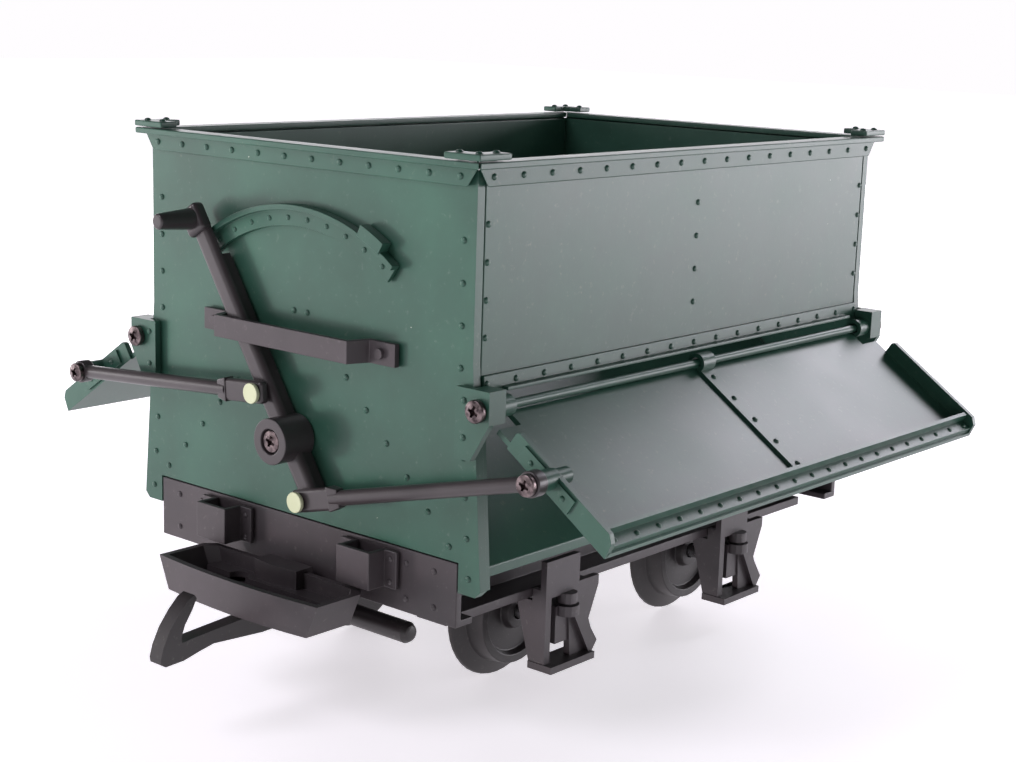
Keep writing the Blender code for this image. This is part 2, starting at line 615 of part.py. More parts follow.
def quadrant():
    """Angle bent to an arc over the lever's path, with its catch."""
    face = -HALF_LENGTH - GAP
    inner = ARC_RADIUS - ARC_LEG
    centre = (0.0, PIVOT_Z)
    low, high = 90.0 - ARC_HALF_ANGLE, 90.0 + ARC_HALF_ANGLE
    leg = circle(centre, ARC_RADIUS, 24, low, high)
    leg += list(reversed(circle(centre, inner, 24, low, high)))
    made = add("lever_quadrant", prism(leg, face, face - 0.8 * MM), "green_plastic")
    flange = circle(centre, ARC_RADIUS, 24, low, high)
    flange += list(reversed(circle(centre, ARC_RADIUS - 1.1 * MM, 24, low, high)))
    combine(made, prism(flange, face - 0.4 * MM, face - ARC_FLANGE + GAP), "UNION", "flange")
    catch_low, catch_high = 90.0 + CATCH_FROM, 90.0 + CATCH_TO
    catch = circle(centre, ARC_RADIUS + CATCH_HEIGHT, 4, catch_low, catch_high)
    catch += list(reversed(circle(centre, ARC_RADIUS - 0.5 * MM, 4, catch_low, catch_high)))
    combine(made, prism(catch, face, face - ARC_FLANGE), "UNION", "catch")
    return made


def lever_guard():
    """Flat strap bent outwards over the lever, with a foot and a bolt head at each end."""
    wall_face = HALF_LENGTH + GAP
    inner = HALF_LENGTH + LEVER_FRONT + GAP
    joggle = GUARD_SPAN + 1.6 * MM
    end = joggle + GUARD_FOOT
    half = [(0.0, inner), (GUARD_SPAN - 1.0 * MM, inner), (joggle - 1.0 * MM, wall_face), (end, wall_face),
            (end, wall_face + GUARD_THICK), (joggle, wall_face + GUARD_THICK),
            (GUARD_SPAN, inner + GUARD_THICK), (0.0, inner + GUARD_THICK)]
    full = half + [(-y, x) for y, x in reversed(half[1:-1])]
    made = add("lever_guard", prism([(-x, y) for y, x in full], GUARD_BOTTOM,
                                    GUARD_BOTTOM + GUARD_HEIGHT, "z"), "black_plastic")
    for side in (-1, 1):
        centre = (0.0, side * (joggle + GUARD_FOOT * 0.45), GUARD_BOTTOM + GUARD_HEIGHT / 2)
        face = -wall_face - GUARD_THICK
        combine(made, rod(face + GUARD_THICK / 2, face - 0.9 * MM, 1.1 * MM, centre=centre, count=12),
                "UNION", "bolt_%d" % side)
    return made


# ---------------------------------------------------------------- underframe
def headstock(name, sx):
    """Cross beam at one end: a web flush with the end wall and a flange along its foot."""
    half = HEADSTOCK_WIDTH / 2
    face = HALF_LENGTH
    outline = [(face, HEADSTOCK_TOP), (face, HEADSTOCK_BOTTOM), (face - HEADSTOCK_FLANGE, HEADSTOCK_BOTTOM),
               (face - HEADSTOCK_FLANGE, HEADSTOCK_BOTTOM + 1.4 * MM),
               (face - HEADSTOCK_THICK, HEADSTOCK_BOTTOM + 1.4 * MM), (face - HEADSTOCK_THICK, HEADSTOCK_TOP)]
    return add(name, prism([(sx * a, b) for a, b in outline], -half, half, "y"), "black_plastic")


def buffer_pocket(name, sx, side):
    """Hat-shaped socket on a headstock, open at the top and the bottom."""
    face = HALF_LENGTH + GAP
    front = face + POCKET_DEPTH
    low, high = POCKET_CENTRE - POCKET_WIDTH / 2, POCKET_CENTRE + POCKET_WIDTH / 2
    ear = 0.9 * MM
    outline = [(face, low - POCKET_EAR), (face + ear, low - POCKET_EAR), (face + ear, low), (front, low),
               (front, high), (face + ear, high), (face + ear, high + POCKET_EAR), (face, high + POCKET_EAR),
               (face, high - POCKET_WALL), (front - POCKET_WALL, high - POCKET_WALL),
               (front - POCKET_WALL, low + POCKET_WALL), (face, low + POCKET_WALL)]
    return add(name, prism([(sx * a, side * b) for a, b in outline], POCKET_BOTTOM, POCKET_TOP, "z"),
               "black_plastic")


def sole_bar(name, side):
    """Long side member of the frame: a web with a flange at its foot and one at its top."""
    outer = SOLE_BAR_OUT
    inner = outer - SOLE_BAR_DEPTH
    top = HEADSTOCK_TOP - 4.0 * MM
    outline = [(inner, SOLE_BAR_BOTTOM), (outer, SOLE_BAR_BOTTOM),
               (outer, SOLE_BAR_BOTTOM + SOLE_BAR_FLANGE),
               (inner + SOLE_BAR_WEB, SOLE_BAR_BOTTOM + SOLE_BAR_FLANGE),
               (inner + SOLE_BAR_WEB, top - 1.2 * MM), (outer - 1.4 * MM, top - 1.2 * MM),
               (outer - 1.4 * MM, top), (inner, top)]
    reach = HALF_LENGTH - HEADSTOCK_FLANGE - GAP
    return add(name, prism([(side * a, b) for a, b in outline], -reach, reach), "black_plastic")


def underframe_floor():
    """Floor plate between the sole bars, which carries the drawbar pivots."""
    half = SOLE_BAR_OUT - SOLE_BAR_DEPTH - GAP
    reach = HALF_LENGTH - HEADSTOCK_THICK - GAP
    low = DRAWBAR_TOP + 2.4 * MM
    made = add("underframe_floor", box((-reach, -half, low), (reach, half, low + FLOOR_THICK)),
               "black_plastic")
    for sx in (-1, 1):
        middle = sx * WHEELBASE / 2
        for side in (-1, 1):
            low_y = side * (WHEEL_BACK - WELL_GAP)
            high_y = side * (WHEEL_BACK + WHEEL_FLANGE + WHEEL_TREAD + WELL_GAP)
            span = FLANGE_RADIUS + WELL_GAP
            hole = [(middle - span, low_y), (middle + span, low_y),
                    (middle + span, high_y), (middle - span, high_y)]
            combine(made, prism(hole, low - MM, low + FLOOR_THICK + MM, "z"),
                    label="wheel_well_%d_%d" % (sx, side))
    for sx in (-1, 1):
        centre = (sx * (HALF_LENGTH - DRAWBAR_LENGTH), 0.0, 0.0)
        shoulder = DRAWBAR_TOP + GAP
        profile = [(low + FLOOR_THICK / 2, 0.0), (low + FLOOR_THICK / 2, COLLAR_RADIUS),
                   (shoulder, COLLAR_RADIUS), (shoulder, DRAWBAR_PIN_RADIUS),
                   (TRAY_BOTTOM + GAP, DRAWBAR_PIN_RADIUS), (TRAY_BOTTOM + GAP, 0.0)]
        combine(made, turned(profile, "z", centre), "UNION", "pivot_%d" % sx)
    return made


def axle_guard(name, sx, side):
    """Guard that holds an axle end: face plate with an A-shaped opening, cheeks, foot and box."""
    middle = sx * WHEELBASE / 2
    face, back = side * GUARD_FACE, side * (GUARD_FACE - AXLE_GUARD_THICK)
    half, top = AXLE_GUARD_HALF, AXLE_GUARD_TOP
    sill = SOLE_BAR_BOTTOM + SOLE_BAR_FLANGE
    foot_top = FOOT_BOTTOM + FOOT_THICK
    outline = [(-half, foot_top), (-half, top), (half - 3.2 * MM, top), (half - 3.2 * MM, sill),
               (half + 3.4 * MM, sill), (half + 3.4 * MM, sill - 2.0 * MM),
               (half + 0.4 * MM, AXLE_Z - 0.2 * MM), (half + 2.2 * MM, AXLE_Z - 4.6 * MM),
               (half, foot_top)]
    place = [(middle + a, b) for a, b in outline]
    made = add(name, prism(place, face, back, "y"), "black_plastic")
    opening = [(middle - 5.2 * MM, FOOT_BOTTOM - MM), (middle + 1.6 * MM, FOOT_BOTTOM - MM),
               (middle + 0.6 * MM, AXLE_Z + 2.0 * MM), (middle - 0.4 * MM, AXLE_Z + 7.1 * MM),
               (middle - 5.2 * MM, AXLE_Z + 7.1 * MM)]
    combine(made, prism(opening, face + side * MM, back - side * MM, "y"), label="opening")
    stay = [(middle + 0.9 * MM, AXLE_Z + 2.4 * MM), (middle + 6.8 * MM, FOOT_BOTTOM + 0.6 * MM),
            (middle + 9.0 * MM, FOOT_BOTTOM + 3.4 * MM), (middle + 2.6 * MM, AXLE_Z + 4.2 * MM)]
    combine(made, prism(stay, face + side * 1.2 * MM, back + side * 0.4 * MM, "y"), "UNION", "stay")
    foot = box((middle - half - 0.2 * MM, min(side * FOOT_OUT, side * (FOOT_OUT - 6.3 * MM)), FOOT_BOTTOM),
               (middle + half + 0.2 * MM, max(side * FOOT_OUT, side * (FOOT_OUT - 6.3 * MM)),
                foot_top + 0.1 * MM))
    combine(made, foot, "UNION", "foot")
    inner_top, inner_foot = SOLE_BAR_OUT + GAP, SOLE_BAR_OUT - 0.2 * MM
    for end in (-1, 1):
        edge = middle + end * half
        cheek = [(side * (GUARD_FACE - 0.2 * MM), foot_top - 0.2 * MM),
                 (side * inner_foot, foot_top - 0.2 * MM),
                 (side * (SOLE_BAR_OUT - 4.0 * MM), SOLE_BAR_BOTTOM - 2 * GAP),
                 (side * inner_top, SOLE_BAR_BOTTOM - 2 * GAP), (side * inner_top, sill),
                 (side * (GUARD_FACE - 0.2 * MM), sill)]
        combine(made, prism(cheek, edge, edge - end * 1.2 * MM), "UNION", "cheek_%d" % end)
    box_inner = side * (SOLE_BAR_OUT - 3.4 * MM)
    box_outer = side * (GUARD_FACE - 0.4 * MM)
    bearing = box((middle - 3.2 * MM, min(box_inner, box_outer), AXLE_Z - 3.4 * MM),
                  (middle + 3.2 * MM, max(box_inner, box_outer), AXLE_Z + 4.6 * MM))
    combine(made, bearing, "UNION", "bearing")
    combine(made, rod(side * (SOLE_BAR_OUT - 5.0 * MM), side * (AXLE_OUT + GAP), AXLE_RADIUS + GAP,
                      "y", (middle, 0.0, AXLE_Z)), label="axle_bore")
    for level, radius in ((0.0, 2.6), (2.6, 2.1)):
        low = AXLE_Z + 2.6 * MM + level * MM
        combine(made, rod(low, low + 2.2 * MM, radius * MM, "z", (middle, face, 0.0), 12), "UNION",
                "spring_seat_%d" % (level > 0.0))
    return made


def wheel(name, sx, side):
    """Flanged wheel with a dished face and a hub, bored for its axle."""
    back = WHEEL_BACK
    tread = back + WHEEL_FLANGE
    outer = tread + WHEEL_TREAD
    hub = 3.6 * MM
    bore = AXLE_RADIUS + GAP
    rim_in = TREAD_RADIUS - 2.0 * MM
    profile = [(back, bore), (back, FLANGE_RADIUS - 0.7 * MM), (back + 0.6 * MM, FLANGE_RADIUS),
               (tread - 0.6 * MM, FLANGE_RADIUS - 0.2 * MM), (tread + 0.5 * MM, TREAD_RADIUS + 0.3 * MM),
               (outer, TREAD_RADIUS - 0.2 * MM), (outer, rim_in), (outer - WHEEL_DISH, rim_in - 0.6 * MM),
               (outer - WHEEL_DISH, hub + 0.5 * MM), (outer + 0.4 * MM, hub), (outer + 0.4 * MM, bore)]
    shape = turned([(side * along, radius) for along, radius in profile], "y",
                   (sx * WHEELBASE / 2, 0.0, AXLE_Z), 40)
    return shape, name


def axle(name, sx):
    return add(name, rod(-AXLE_OUT, AXLE_OUT, AXLE_RADIUS, "y", (0.0, 0.0, 0.0), 16), "bright_steel",
               None)


# ---------------------------------------------------------------- couplers
def coupler_tray(name, sx, swivel):
    """Catch tray of the coupler with its drawbar, which swivels under the headstock."""
    pivot_x = HALF_LENGTH - DRAWBAR_LENGTH
    back = HALF_LENGTH + TRAY_BACK - pivot_x
    front = HALF_LENGTH + TRAY_FRONT - pivot_x
    steps = 8

    def ring(half, shrink, z, bm):
        points = [(back + shrink, -half + shrink + TRAY_CORNER),
                  (back + shrink + TRAY_CORNER, -half + shrink)]
        for i in range(steps + 1):
            across = -1.0 + 2.0 * i / steps
            bulge = TRAY_BULGE * (1.0 - across * across)
            points.append((front - shrink + bulge, across * (half - shrink)))
        points.append((back + shrink + TRAY_CORNER, half - shrink))
        points.append((back + shrink, half - shrink - TRAY_CORNER))
        return [bm.verts.new((sx * x, y, z)) for x, y in points]

    def tub(shrink, low, high, low_half, high_half):
        bm = bmesh.new()
        bottom, top = ring(low_half, shrink, low, bm), ring(high_half, shrink, high, bm)
        bm.faces.new(bottom)
        bm.faces.new(top)
        for i in range(len(bottom)):
            j = (i + 1) % len(bottom)
            bm.faces.new((bottom[i], bottom[j], top[j], top[i]))
        return bm

    made = add(name, tub(0.0, TRAY_BOTTOM, TRAY_TOP, TRAY_HALF_BOTTOM, TRAY_HALF_TOP), "black_plastic",
               swivel)
    combine(made, tub(TRAY_WALL, TRAY_BOTTOM + 1.4 * MM, TRAY_TOP + MM, TRAY_HALF_BOTTOM + 0.3 * MM,
                      TRAY_HALF_TOP + 0.3 * MM), label="hollow")
    bar_low, bar_high = TRAY_BOTTOM, DRAWBAR_TOP
    neck = [(sx * -4.2 * MM, -DRAWBAR_HALF), (sx * -4.2 * MM, DRAWBAR_HALF),
            (sx * (back + 2.0 * MM), DRAWBAR_HALF + 1.5 * MM),
            (sx * (back + 2.0 * MM), -DRAWBAR_HALF - 1.5 * MM)]
    combine(made, prism(neck, bar_low, bar_high, "z"), "UNION", "drawbar")
    deck_half = TRAY_HALF_BOTTOM - 1.6 * MM
    deck = box((min(sx * back, sx * (back + DECK_DEPTH)), -deck_half, DECK_TOP - DECK_THICK),
               (max(sx * back, sx * (back + DECK_DEPTH)), deck_half, DECK_TOP))
    combine(made, deck, "UNION", "deck")
    combine(made, rod(DECK_TOP + MM, DECK_TOP - DECK_THICK - MM, DECK_NOTCH, "z",
                      (sx * (back + DECK_DEPTH), 9.4 * MM, 0.0)), label="deck_notch")
    stop_back, stop_front = HALF_LENGTH + 1.9 * MM - pivot_x, HALF_LENGTH + 6.4 * MM - pivot_x
    stop = [(sx * stop_back, -6.2 * MM), (sx * stop_back, 6.2 * MM), (sx * stop_front, 6.2 * MM),
            (sx * (stop_front + 0.8 * MM), 0.0), (sx * stop_front, -6.2 * MM)]
    combine(made, prism(stop, TRAY_BOTTOM + 0.5 * MM, TRAY_BLOCK_TOP, "z"), "UNION", "stop_block")
    combine(made, rod(bar_low - MM, bar_high + MM, DRAWBAR_PIN_RADIUS + GAP, "z"), label="pivot_bore")
    ear_x = HALF_LENGTH + HOOK_PIVOT_BACK - pivot_x
    for side in (-1, 1):
        low_y, high_y = HOOK_HALF + GAP, HOOK_HALF + GAP + 1.6 * MM
        ear = box((sx * ear_x - 2.9 * MM, min(side * low_y, side * high_y), HOOK_PIVOT_Z - 2.9 * MM),
                  (sx * ear_x + 2.9 * MM, max(side * low_y, side * high_y), TRAY_BOTTOM + 0.6 * MM))
        combine(made, ear, "UNION", "ear_%d" % side)
    combine(made, rod(-8.0 * MM, 8.0 * MM, HOOK_ARM_RADIUS + GAP, "y",
                      (sx * ear_x, 0.0, HOOK_PIVOT_Z)), label="ear_bore")
    return made


def coupler_hook(name, sx, joint):
    """Spring hook under the tray, with the release arm that turns in the drawbar's ears."""
    pivot = HALF_LENGTH + HOOK_PIVOT_BACK
    tip = HALF_LENGTH + HOOK_REACH - pivot
    rise = HOOK_TIP_Z - HOOK_PIVOT_Z
    low = 15.2 * MM - HOOK_PIVOT_Z
    outline = [(-1.8 * MM, -1.3 * MM), (6.0 * MM, -2.0 * MM), (16.0 * MM, -2.3 * MM),
               (tip - 13.0 * MM, -1.5 * MM), (tip - 9.4 * MM, -2.2 * MM), (tip - 5.6 * MM, low + 0.2 * MM),
               (tip - 1.2 * MM, low), (tip - 0.2 * MM, low + 0.6 * MM), (tip, low + 1.6 * MM),
               (tip - 0.7 * MM, low + 4.0 * MM), (tip - 2.3 * MM, low + 7.1 * MM),
               (tip - 4.6 * MM, rise - 2.8 * MM), (tip - 6.9 * MM, rise - 0.6 * MM), (tip - 8.3 * MM, rise),
               (tip - 8.8 * MM, rise - 0.8 * MM), (tip - 7.6 * MM, rise - 3.0 * MM),
               (tip - 5.9 * MM, 4.0 * MM), (tip - 5.0 * MM, 1.6 * MM), (tip - 5.2 * MM, 0.6 * MM),
               (tip - 8.0 * MM, 0.9 * MM), (16.0 * MM, 2.1 * MM),
               (6.0 * MM, 1.6 * MM), (-1.8 * MM, 1.3 * MM)]
    made = add(name, prism([(sx * a, b) for a, b in outline], -HOOK_HALF, HOOK_HALF, "y"),
               "black_plastic", joint)
    start, end = -HOOK_HALF - 1.9 * MM, HOOK_ARM_REACH
    profile = [(start, 0.0), (start, HOOK_ARM_RADIUS), (end - 1.3 * MM, HOOK_ARM_RADIUS),
               (end - 0.4 * MM, HOOK_ARM_RADIUS * 0.75), (end, HOOK_ARM_RADIUS * 0.35), (end, 0.0)]
    arm = turned([(sx * along, radius) for along, radius in profile], "y")
    combine(made, arm, "UNION", "release_arm")
    return made


# ---------------------------------------------------------------- assembly
def build_hopper():
    front = end_wall("end_wall_front", -1)
    pivot_holes(front)
    end_wall("end_wall_rear", 1)
    for side, hand in ((-1, "right"), (1, "left")):
        side_wall("side_wall_" + hand, side)
        rim_angle("rim_angle_" + hand, True, side)
        hinge_rod("hinge_rod_" + hand, side)
    for sx, end in ((-1, "front"), (1, "rear")):
        rim_angle("rim_angle_" + end, False, sx)
        for side, hand in ((-1, "right"), (1, "left")):
            tag = "_%s_%s" % (end, hand)
            gusset("corner_gusset" + tag, sx, side)
            hinge_bracket("hinge_bracket" + tag, sx, side)
            hinge_screw("hinge_screw" + tag, sx, side)
    saddle_floor()


def build_doors():
    for side, hand in ((-1, "right"), (1, "left")):
        turn = -side * math.radians(DOOR_OPEN)
        hinge = axis_empty("door_%s_axis" % hand, (0.0, side * HINGE_Y, HINGE_Z), (turn, 0.0, 0.0))
        door("door_" + hand, side, hinge)


def build_lever():
    lean = -math.radians(LEVER_OPEN)
    pivot = axis_empty("lever_axis", (0.0, 0.0, PIVOT_Z), (lean, 0.0, 0.0))
    discharge_lever(pivot)
    lever_grip(pivot)
    link_pin("upper_link_pin", pivot, UPPER_PIN)
    link_pin("lower_link_pin", pivot, -LOWER_PIN)
    pivot_screw()
    quadrant()
    lever_guard()
    for hand, side, distance, way in (("left", 1, UPPER_PIN, 1.0), ("right", -1, LOWER_PIN, -1.0)):
        pin, lug = along_lever(distance, way), lug_place(side)
        length = math.hypot(lug[0] - pin[0], lug[1] - pin[1])
        turn = math.atan2(lug[1] - pin[1], lug[0] - pin[0])
        joint = axis_empty("link_%s_axis" % hand, (0.0, pin[0], pin[1]), (turn, 0.0, 0.0))
        link("door_link_" + hand, pin, lug, joint)
        link_screw("link_screw_" + hand, length, joint)


def build_underframe():
    underframe_floor()
    for side, hand in ((-1, "right"), (1, "left")):
        sole_bar("sole_bar_" + hand, side)
    for sx, end in ((-1, "front"), (1, "rear")):
        headstock("headstock_" + end, sx)
        axis = axis_empty("wheelset_%s_axis" % end, (sx * WHEELBASE / 2, 0.0, AXLE_Z))
        shaft = axle("axle_" + end, sx)
        shaft.parent = axis
        for side, hand in ((-1, "right"), (1, "left")):
            tag = "_%s_%s" % (end, hand)
            buffer_pocket("buffer_pocket" + tag, sx, side)
            axle_guard("axle_guard" + tag, sx, side)
            shape, name = wheel("wheel" + tag, sx, side)
            bmesh.ops.translate(shape, verts=shape.verts, vec=-axis.location)
            add(name, shape, "black_plastic", axis)


def build_couplers():
    for sx, end in ((-1, "front"), (1, "rear")):
        pivot_x = sx * (HALF_LENGTH - DRAWBAR_LENGTH)
        swivel = axis_empty("coupler_%s_axis" % end, (pivot_x, 0.0, 0.0))
        coupler_tray("coupler_tray_" + end, sx, swivel)
        hook_x = sx * (HALF_LENGTH + HOOK_PIVOT_BACK)
        joint = axis_empty("hook_%s_axis" % end, (hook_x, 0.0, HOOK_PIVOT_Z))
        coupler_hook("coupler_hook_" + end, sx, joint)


clear_scene()
build_hopper()
build_doors()
build_lever()
build_underframe()
build_couplers()
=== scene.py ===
# %% [markdown]
# # A side-discharge hopper wagon for garden railways
# The wagon is moulded in plastic, mostly green and black, and held together by a few screws. Its
# sheets, angles and wheels come from the frame, already in place. This lesson gives them soft
# moulded edges, adds the rivets, screws, lever and links, and paints it all with node materials.

# %% Load the frame
import json
import math

import bpy
from mathutils import Matrix, Vector


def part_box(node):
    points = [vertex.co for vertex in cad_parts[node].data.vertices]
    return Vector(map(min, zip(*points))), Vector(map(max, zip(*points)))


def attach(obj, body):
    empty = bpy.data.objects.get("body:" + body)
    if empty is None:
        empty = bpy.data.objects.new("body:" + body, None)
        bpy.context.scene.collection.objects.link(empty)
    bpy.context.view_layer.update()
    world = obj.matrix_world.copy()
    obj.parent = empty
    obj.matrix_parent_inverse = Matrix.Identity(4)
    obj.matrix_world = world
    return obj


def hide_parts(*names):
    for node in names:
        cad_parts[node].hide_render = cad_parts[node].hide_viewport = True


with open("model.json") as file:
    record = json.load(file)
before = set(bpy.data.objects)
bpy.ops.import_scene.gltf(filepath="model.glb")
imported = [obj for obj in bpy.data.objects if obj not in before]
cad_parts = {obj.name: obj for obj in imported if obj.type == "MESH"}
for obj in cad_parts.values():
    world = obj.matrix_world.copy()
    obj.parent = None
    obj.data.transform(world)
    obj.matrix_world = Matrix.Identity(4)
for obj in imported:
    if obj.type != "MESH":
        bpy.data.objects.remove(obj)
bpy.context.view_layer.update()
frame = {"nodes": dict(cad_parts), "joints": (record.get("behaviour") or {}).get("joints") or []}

MM = 0.001

# %% [markdown]
# ## Places that everything else is measured from
# Sizes come from the frame, so a rivet sits on its sheet even if the sheet moves. Each face is
# read once from the box of the node that carries it.

# %% Faces read from the frame
ENDS = (("front", -1), ("rear", 1))
HANDS = (("right", -1), ("left", 1))


def low(node):
    return Vector(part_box(node)[0])


def high(node):
    return Vector(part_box(node)[1])


def middle(node):
    return (low(node) + high(node)) / 2


def joint(name):
    return next(item for item in frame["joints"] if item["name"] == name)


RIM_OVERHANG = 2.65 * MM             # the rim stands out over the side sheet
LEG_THICK = 1.1 * MM                 # the rim's leg, which lies on the sheet
STRIP_THICK = 0.8 * MM               # the riveted strip at the foot of the side sheet
END_FACE = high("end_wall_rear").x
SIDE_FACE = high("rim_angle_left").y - RIM_OVERHANG
STRIP_FACE = SIDE_FACE + STRIP_THICK
RIM_TOP = high("rim_angle_left").z
END_LEG_FACE = END_FACE + LEG_THICK
SIDE_LEG_FACE = SIDE_FACE + LEG_THICK
GUSSET_TOP = high("corner_gusset_rear_left").z
LEVER_AXIS = Vector(joint("discharge_lever")["pos_m"])
HINGE = Vector(joint("door_left_hinge")["pos_m"])
DOOR_OPEN = math.radians(34.0)
UPPER_PIN = Vector(joint("link_left_pin")["pos_m"]) - LEVER_AXIS
LOWER_PIN = Vector(joint("link_right_pin")["pos_m"]) - LEVER_AXIS
LEVER_LEAN = math.atan2(UPPER_PIN.y, UPPER_PIN.z)
print("end face", round(END_FACE / MM, 2), "side face", round(SIDE_FACE / MM, 2), "mm")

# %% [markdown]
# ## Small helpers for modelling
# bpy.ops works on what is selected, so each helper first clears the selection. A finished piece
# has its place in its mesh: its object stands at the origin, unturned and unscaled. That keeps
# the finish in scale on every piece, because the materials measure from the object's origin.


# %% Select, apply and name
def only(*objects):
    for item in bpy.context.selected_objects:
        item.select_set(False)
    for item in objects:
        item.select_set(True)
    bpy.context.view_layer.objects.active = objects[0]


def made(name):
    """The object that the last operator made, under a plain name."""
    item = bpy.context.active_object
    item.name = name
    item.data.name = name
    only(item)
    return item


def settle(item):
    """Apply the object's place, turn and size to its mesh."""
    only(item)
    bpy.ops.object.transform_apply(location=True, rotation=True, scale=True)
    return item


def place(item, matrix):
    """Move and turn a piece, with the result in its mesh."""
    item.matrix_world = matrix @ item.matrix_world
    return settle(item)


# %% [markdown]
# A modifier is set, applied and gone: what stays is a plain mesh. The bevel with its weighted
# normals matters most here, because a moulding has no sharp edges but does have flat faces.


# %% Modifiers, bevels and shading
def apply_modifier(item, kind, **settings):
    only(item)
    modifier = item.modifiers.new(kind.lower(), kind)
    for key, value in settings.items():
        setattr(modifier, key, value)
    bpy.ops.object.modifier_apply(modifier=modifier.name)
    return item


def smooth(item, degrees=32.0):
    """Smooth shading over rounded edges, while large faces stay flat."""
    only(item)
    bpy.ops.object.shade_smooth_by_angle(angle=math.radians(degrees))
    return apply_modifier(item, "WEIGHTED_NORMAL", keep_sharp=True)


def soften(item, width, segments=2, sharper_than=30.0):
    """Round the edges with a bevel, as a mould does."""
    apply_modifier(item, "BEVEL", width=width, segments=segments, limit_method="ANGLE",
                   angle_limit=math.radians(sharper_than), use_clamp_overlap=True)
    return smooth(item)


# %% [markdown]
# Some tools, such as inset and bevel, only work in edit mode on what is selected. The first of
# these goes in, does one thing and comes out again. The second picks the faces for it.


# %% Work in edit mode
def edit(item, operation):
    """Run mesh operators in edit mode on everything, or on what operation selects."""
    only(item)
    bpy.ops.object.mode_set(mode="EDIT")
    bpy.ops.mesh.select_all(action="SELECT")
    operation()
    bpy.ops.object.mode_set(mode="OBJECT")
    return item


def select_faces(item, test):
    """In edit mode, select the faces whose centre and normal pass a test, and nothing else."""
    bpy.ops.object.mode_set(mode="OBJECT")
    for vertex in item.data.vertices:
        vertex.select = False
    for side in item.data.edges:
        side.select = False
    for face in item.data.polygons:
        face.select = test(face.center, face.normal)
    bpy.ops.object.mode_set(mode="EDIT")
    bpy.ops.mesh.select_mode(type="FACE")


# %% [markdown]
# The small fittings are built from boxes and round bars, given by where they start and end. That
# is how a drawing gives them, and it needs no turning by hand.


# %% Copies, boxes and bars
def copy_of(item, name):
    twin = item.copy()
    twin.data = item.data.copy()
    twin.name = name
    bpy.context.collection.objects.link(twin)
    return twin


def joined(name, items):
    only(*items)
    bpy.ops.object.join()
    return settle(made(name))


def cube(name, lowest, highest):
    """A box between two corners, ready to be shaped."""
    centre = (Vector(lowest) + Vector(highest)) / 2
    bpy.ops.mesh.primitive_cube_add(size=1.0, location=centre)
    item = made(name)
    item.scale = Vector(highest) - Vector(lowest)
    return settle(item)


def cylinder(name, radius, start, end, count=32, tip=None):
    """A round bar from start to end; with tip it tapers to that radius."""
    start, end = Vector(start), Vector(end)
    run = end - start
    bpy.ops.mesh.primitive_cone_add(vertices=count, radius1=radius,
                                    radius2=radius if tip is None else tip,
                                    depth=run.length, location=(start + end) / 2,
                                    rotation=run.to_track_quat("Z", "Y").to_euler())
    return settle(made(name))


# %% [markdown]
# Every visible piece gets two things: a material and a body that it moves with. Where it takes
# the place of frame nodes, they are named.


# %% Finish a piece
def finish(item, material, body, slot_name, *nodes):
    """Paint a piece, let it ride on its body and say which nodes it stands for."""
    item.data.materials.clear()
    item.data.materials.append(material)
    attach(item, body)
    if nodes:
        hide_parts(*nodes)
    return item


# %% [markdown]
# ## Colours and nodes
# Colours are written as sRGB hex, as a paint chart gives them, and turned to linear once.
# One function adds any node with its settings and its links.


# %% Colour and node helpers
def colour(text):
    parts = [int(text[i:i + 2], 16) / 255.0 for i in (1, 3, 5)]
    linear = [c / 12.92 if c <= 0.04045 else ((c + 0.055) / 1.055) ** 2.4 for c in parts]
    return (*linear, 1.0)


def add_node(tree, kind, links=None, values=None, stops=(), **attributes):
    """Add a node: links and values name its inputs, stops are (position, hex) on a ramp."""
    item = tree.nodes.new(kind)
    for key, value in attributes.items():
        setattr(item, key, value)
    for key, value in (values or {}).items():
        item.inputs[key].default_value = value
    for key, source in (links or {}).items():
        tree.links.new(item.inputs[key], source)
    for number, (position, text) in enumerate(stops):
        if number >= len(item.color_ramp.elements):
            item.color_ramp.elements.new(position)
        item.color_ramp.elements[number].position = position
        item.color_ramp.elements[number].color = colour(text)
    return item


def blank(name):
    """A new material, with its node tree and its shader."""
    material = bpy.data.materials.new(name)
    material.use_nodes = True
    tree = material.node_tree
    return material, tree, tree.nodes["Principled BSDF"]


# %% [markdown]
# ## Moulded ABS
# The plastic is injection-moulded ABS in several colours. The tool was spark-eroded, so the skin
# has a very fine, shallow texture: its highlights are soft, not mirror-like. Handling leaves fine
# dust in specks, slightly lighter patches and short faint scratches. The grain is drawn at
# 0.35 mm, coarser than the real 0.05 mm, so that it can be seen at all.

# %% Moulded ABS finish
GRAIN = 0.35 * MM
MOTTLE = 24.0 * MM
DUST = 1.5 * MM
SPECK_CELL = 3.4 * MM
SPECK_SIZE = 0.034                   # share of a cell
SPECKS_FROM = 0.93                   # only the cells above this chance hold a speck
SCRATCH = 0.9 * MM
GRAIN_DEPTH = 0.05 * MM
ABS_IOR = 1.54


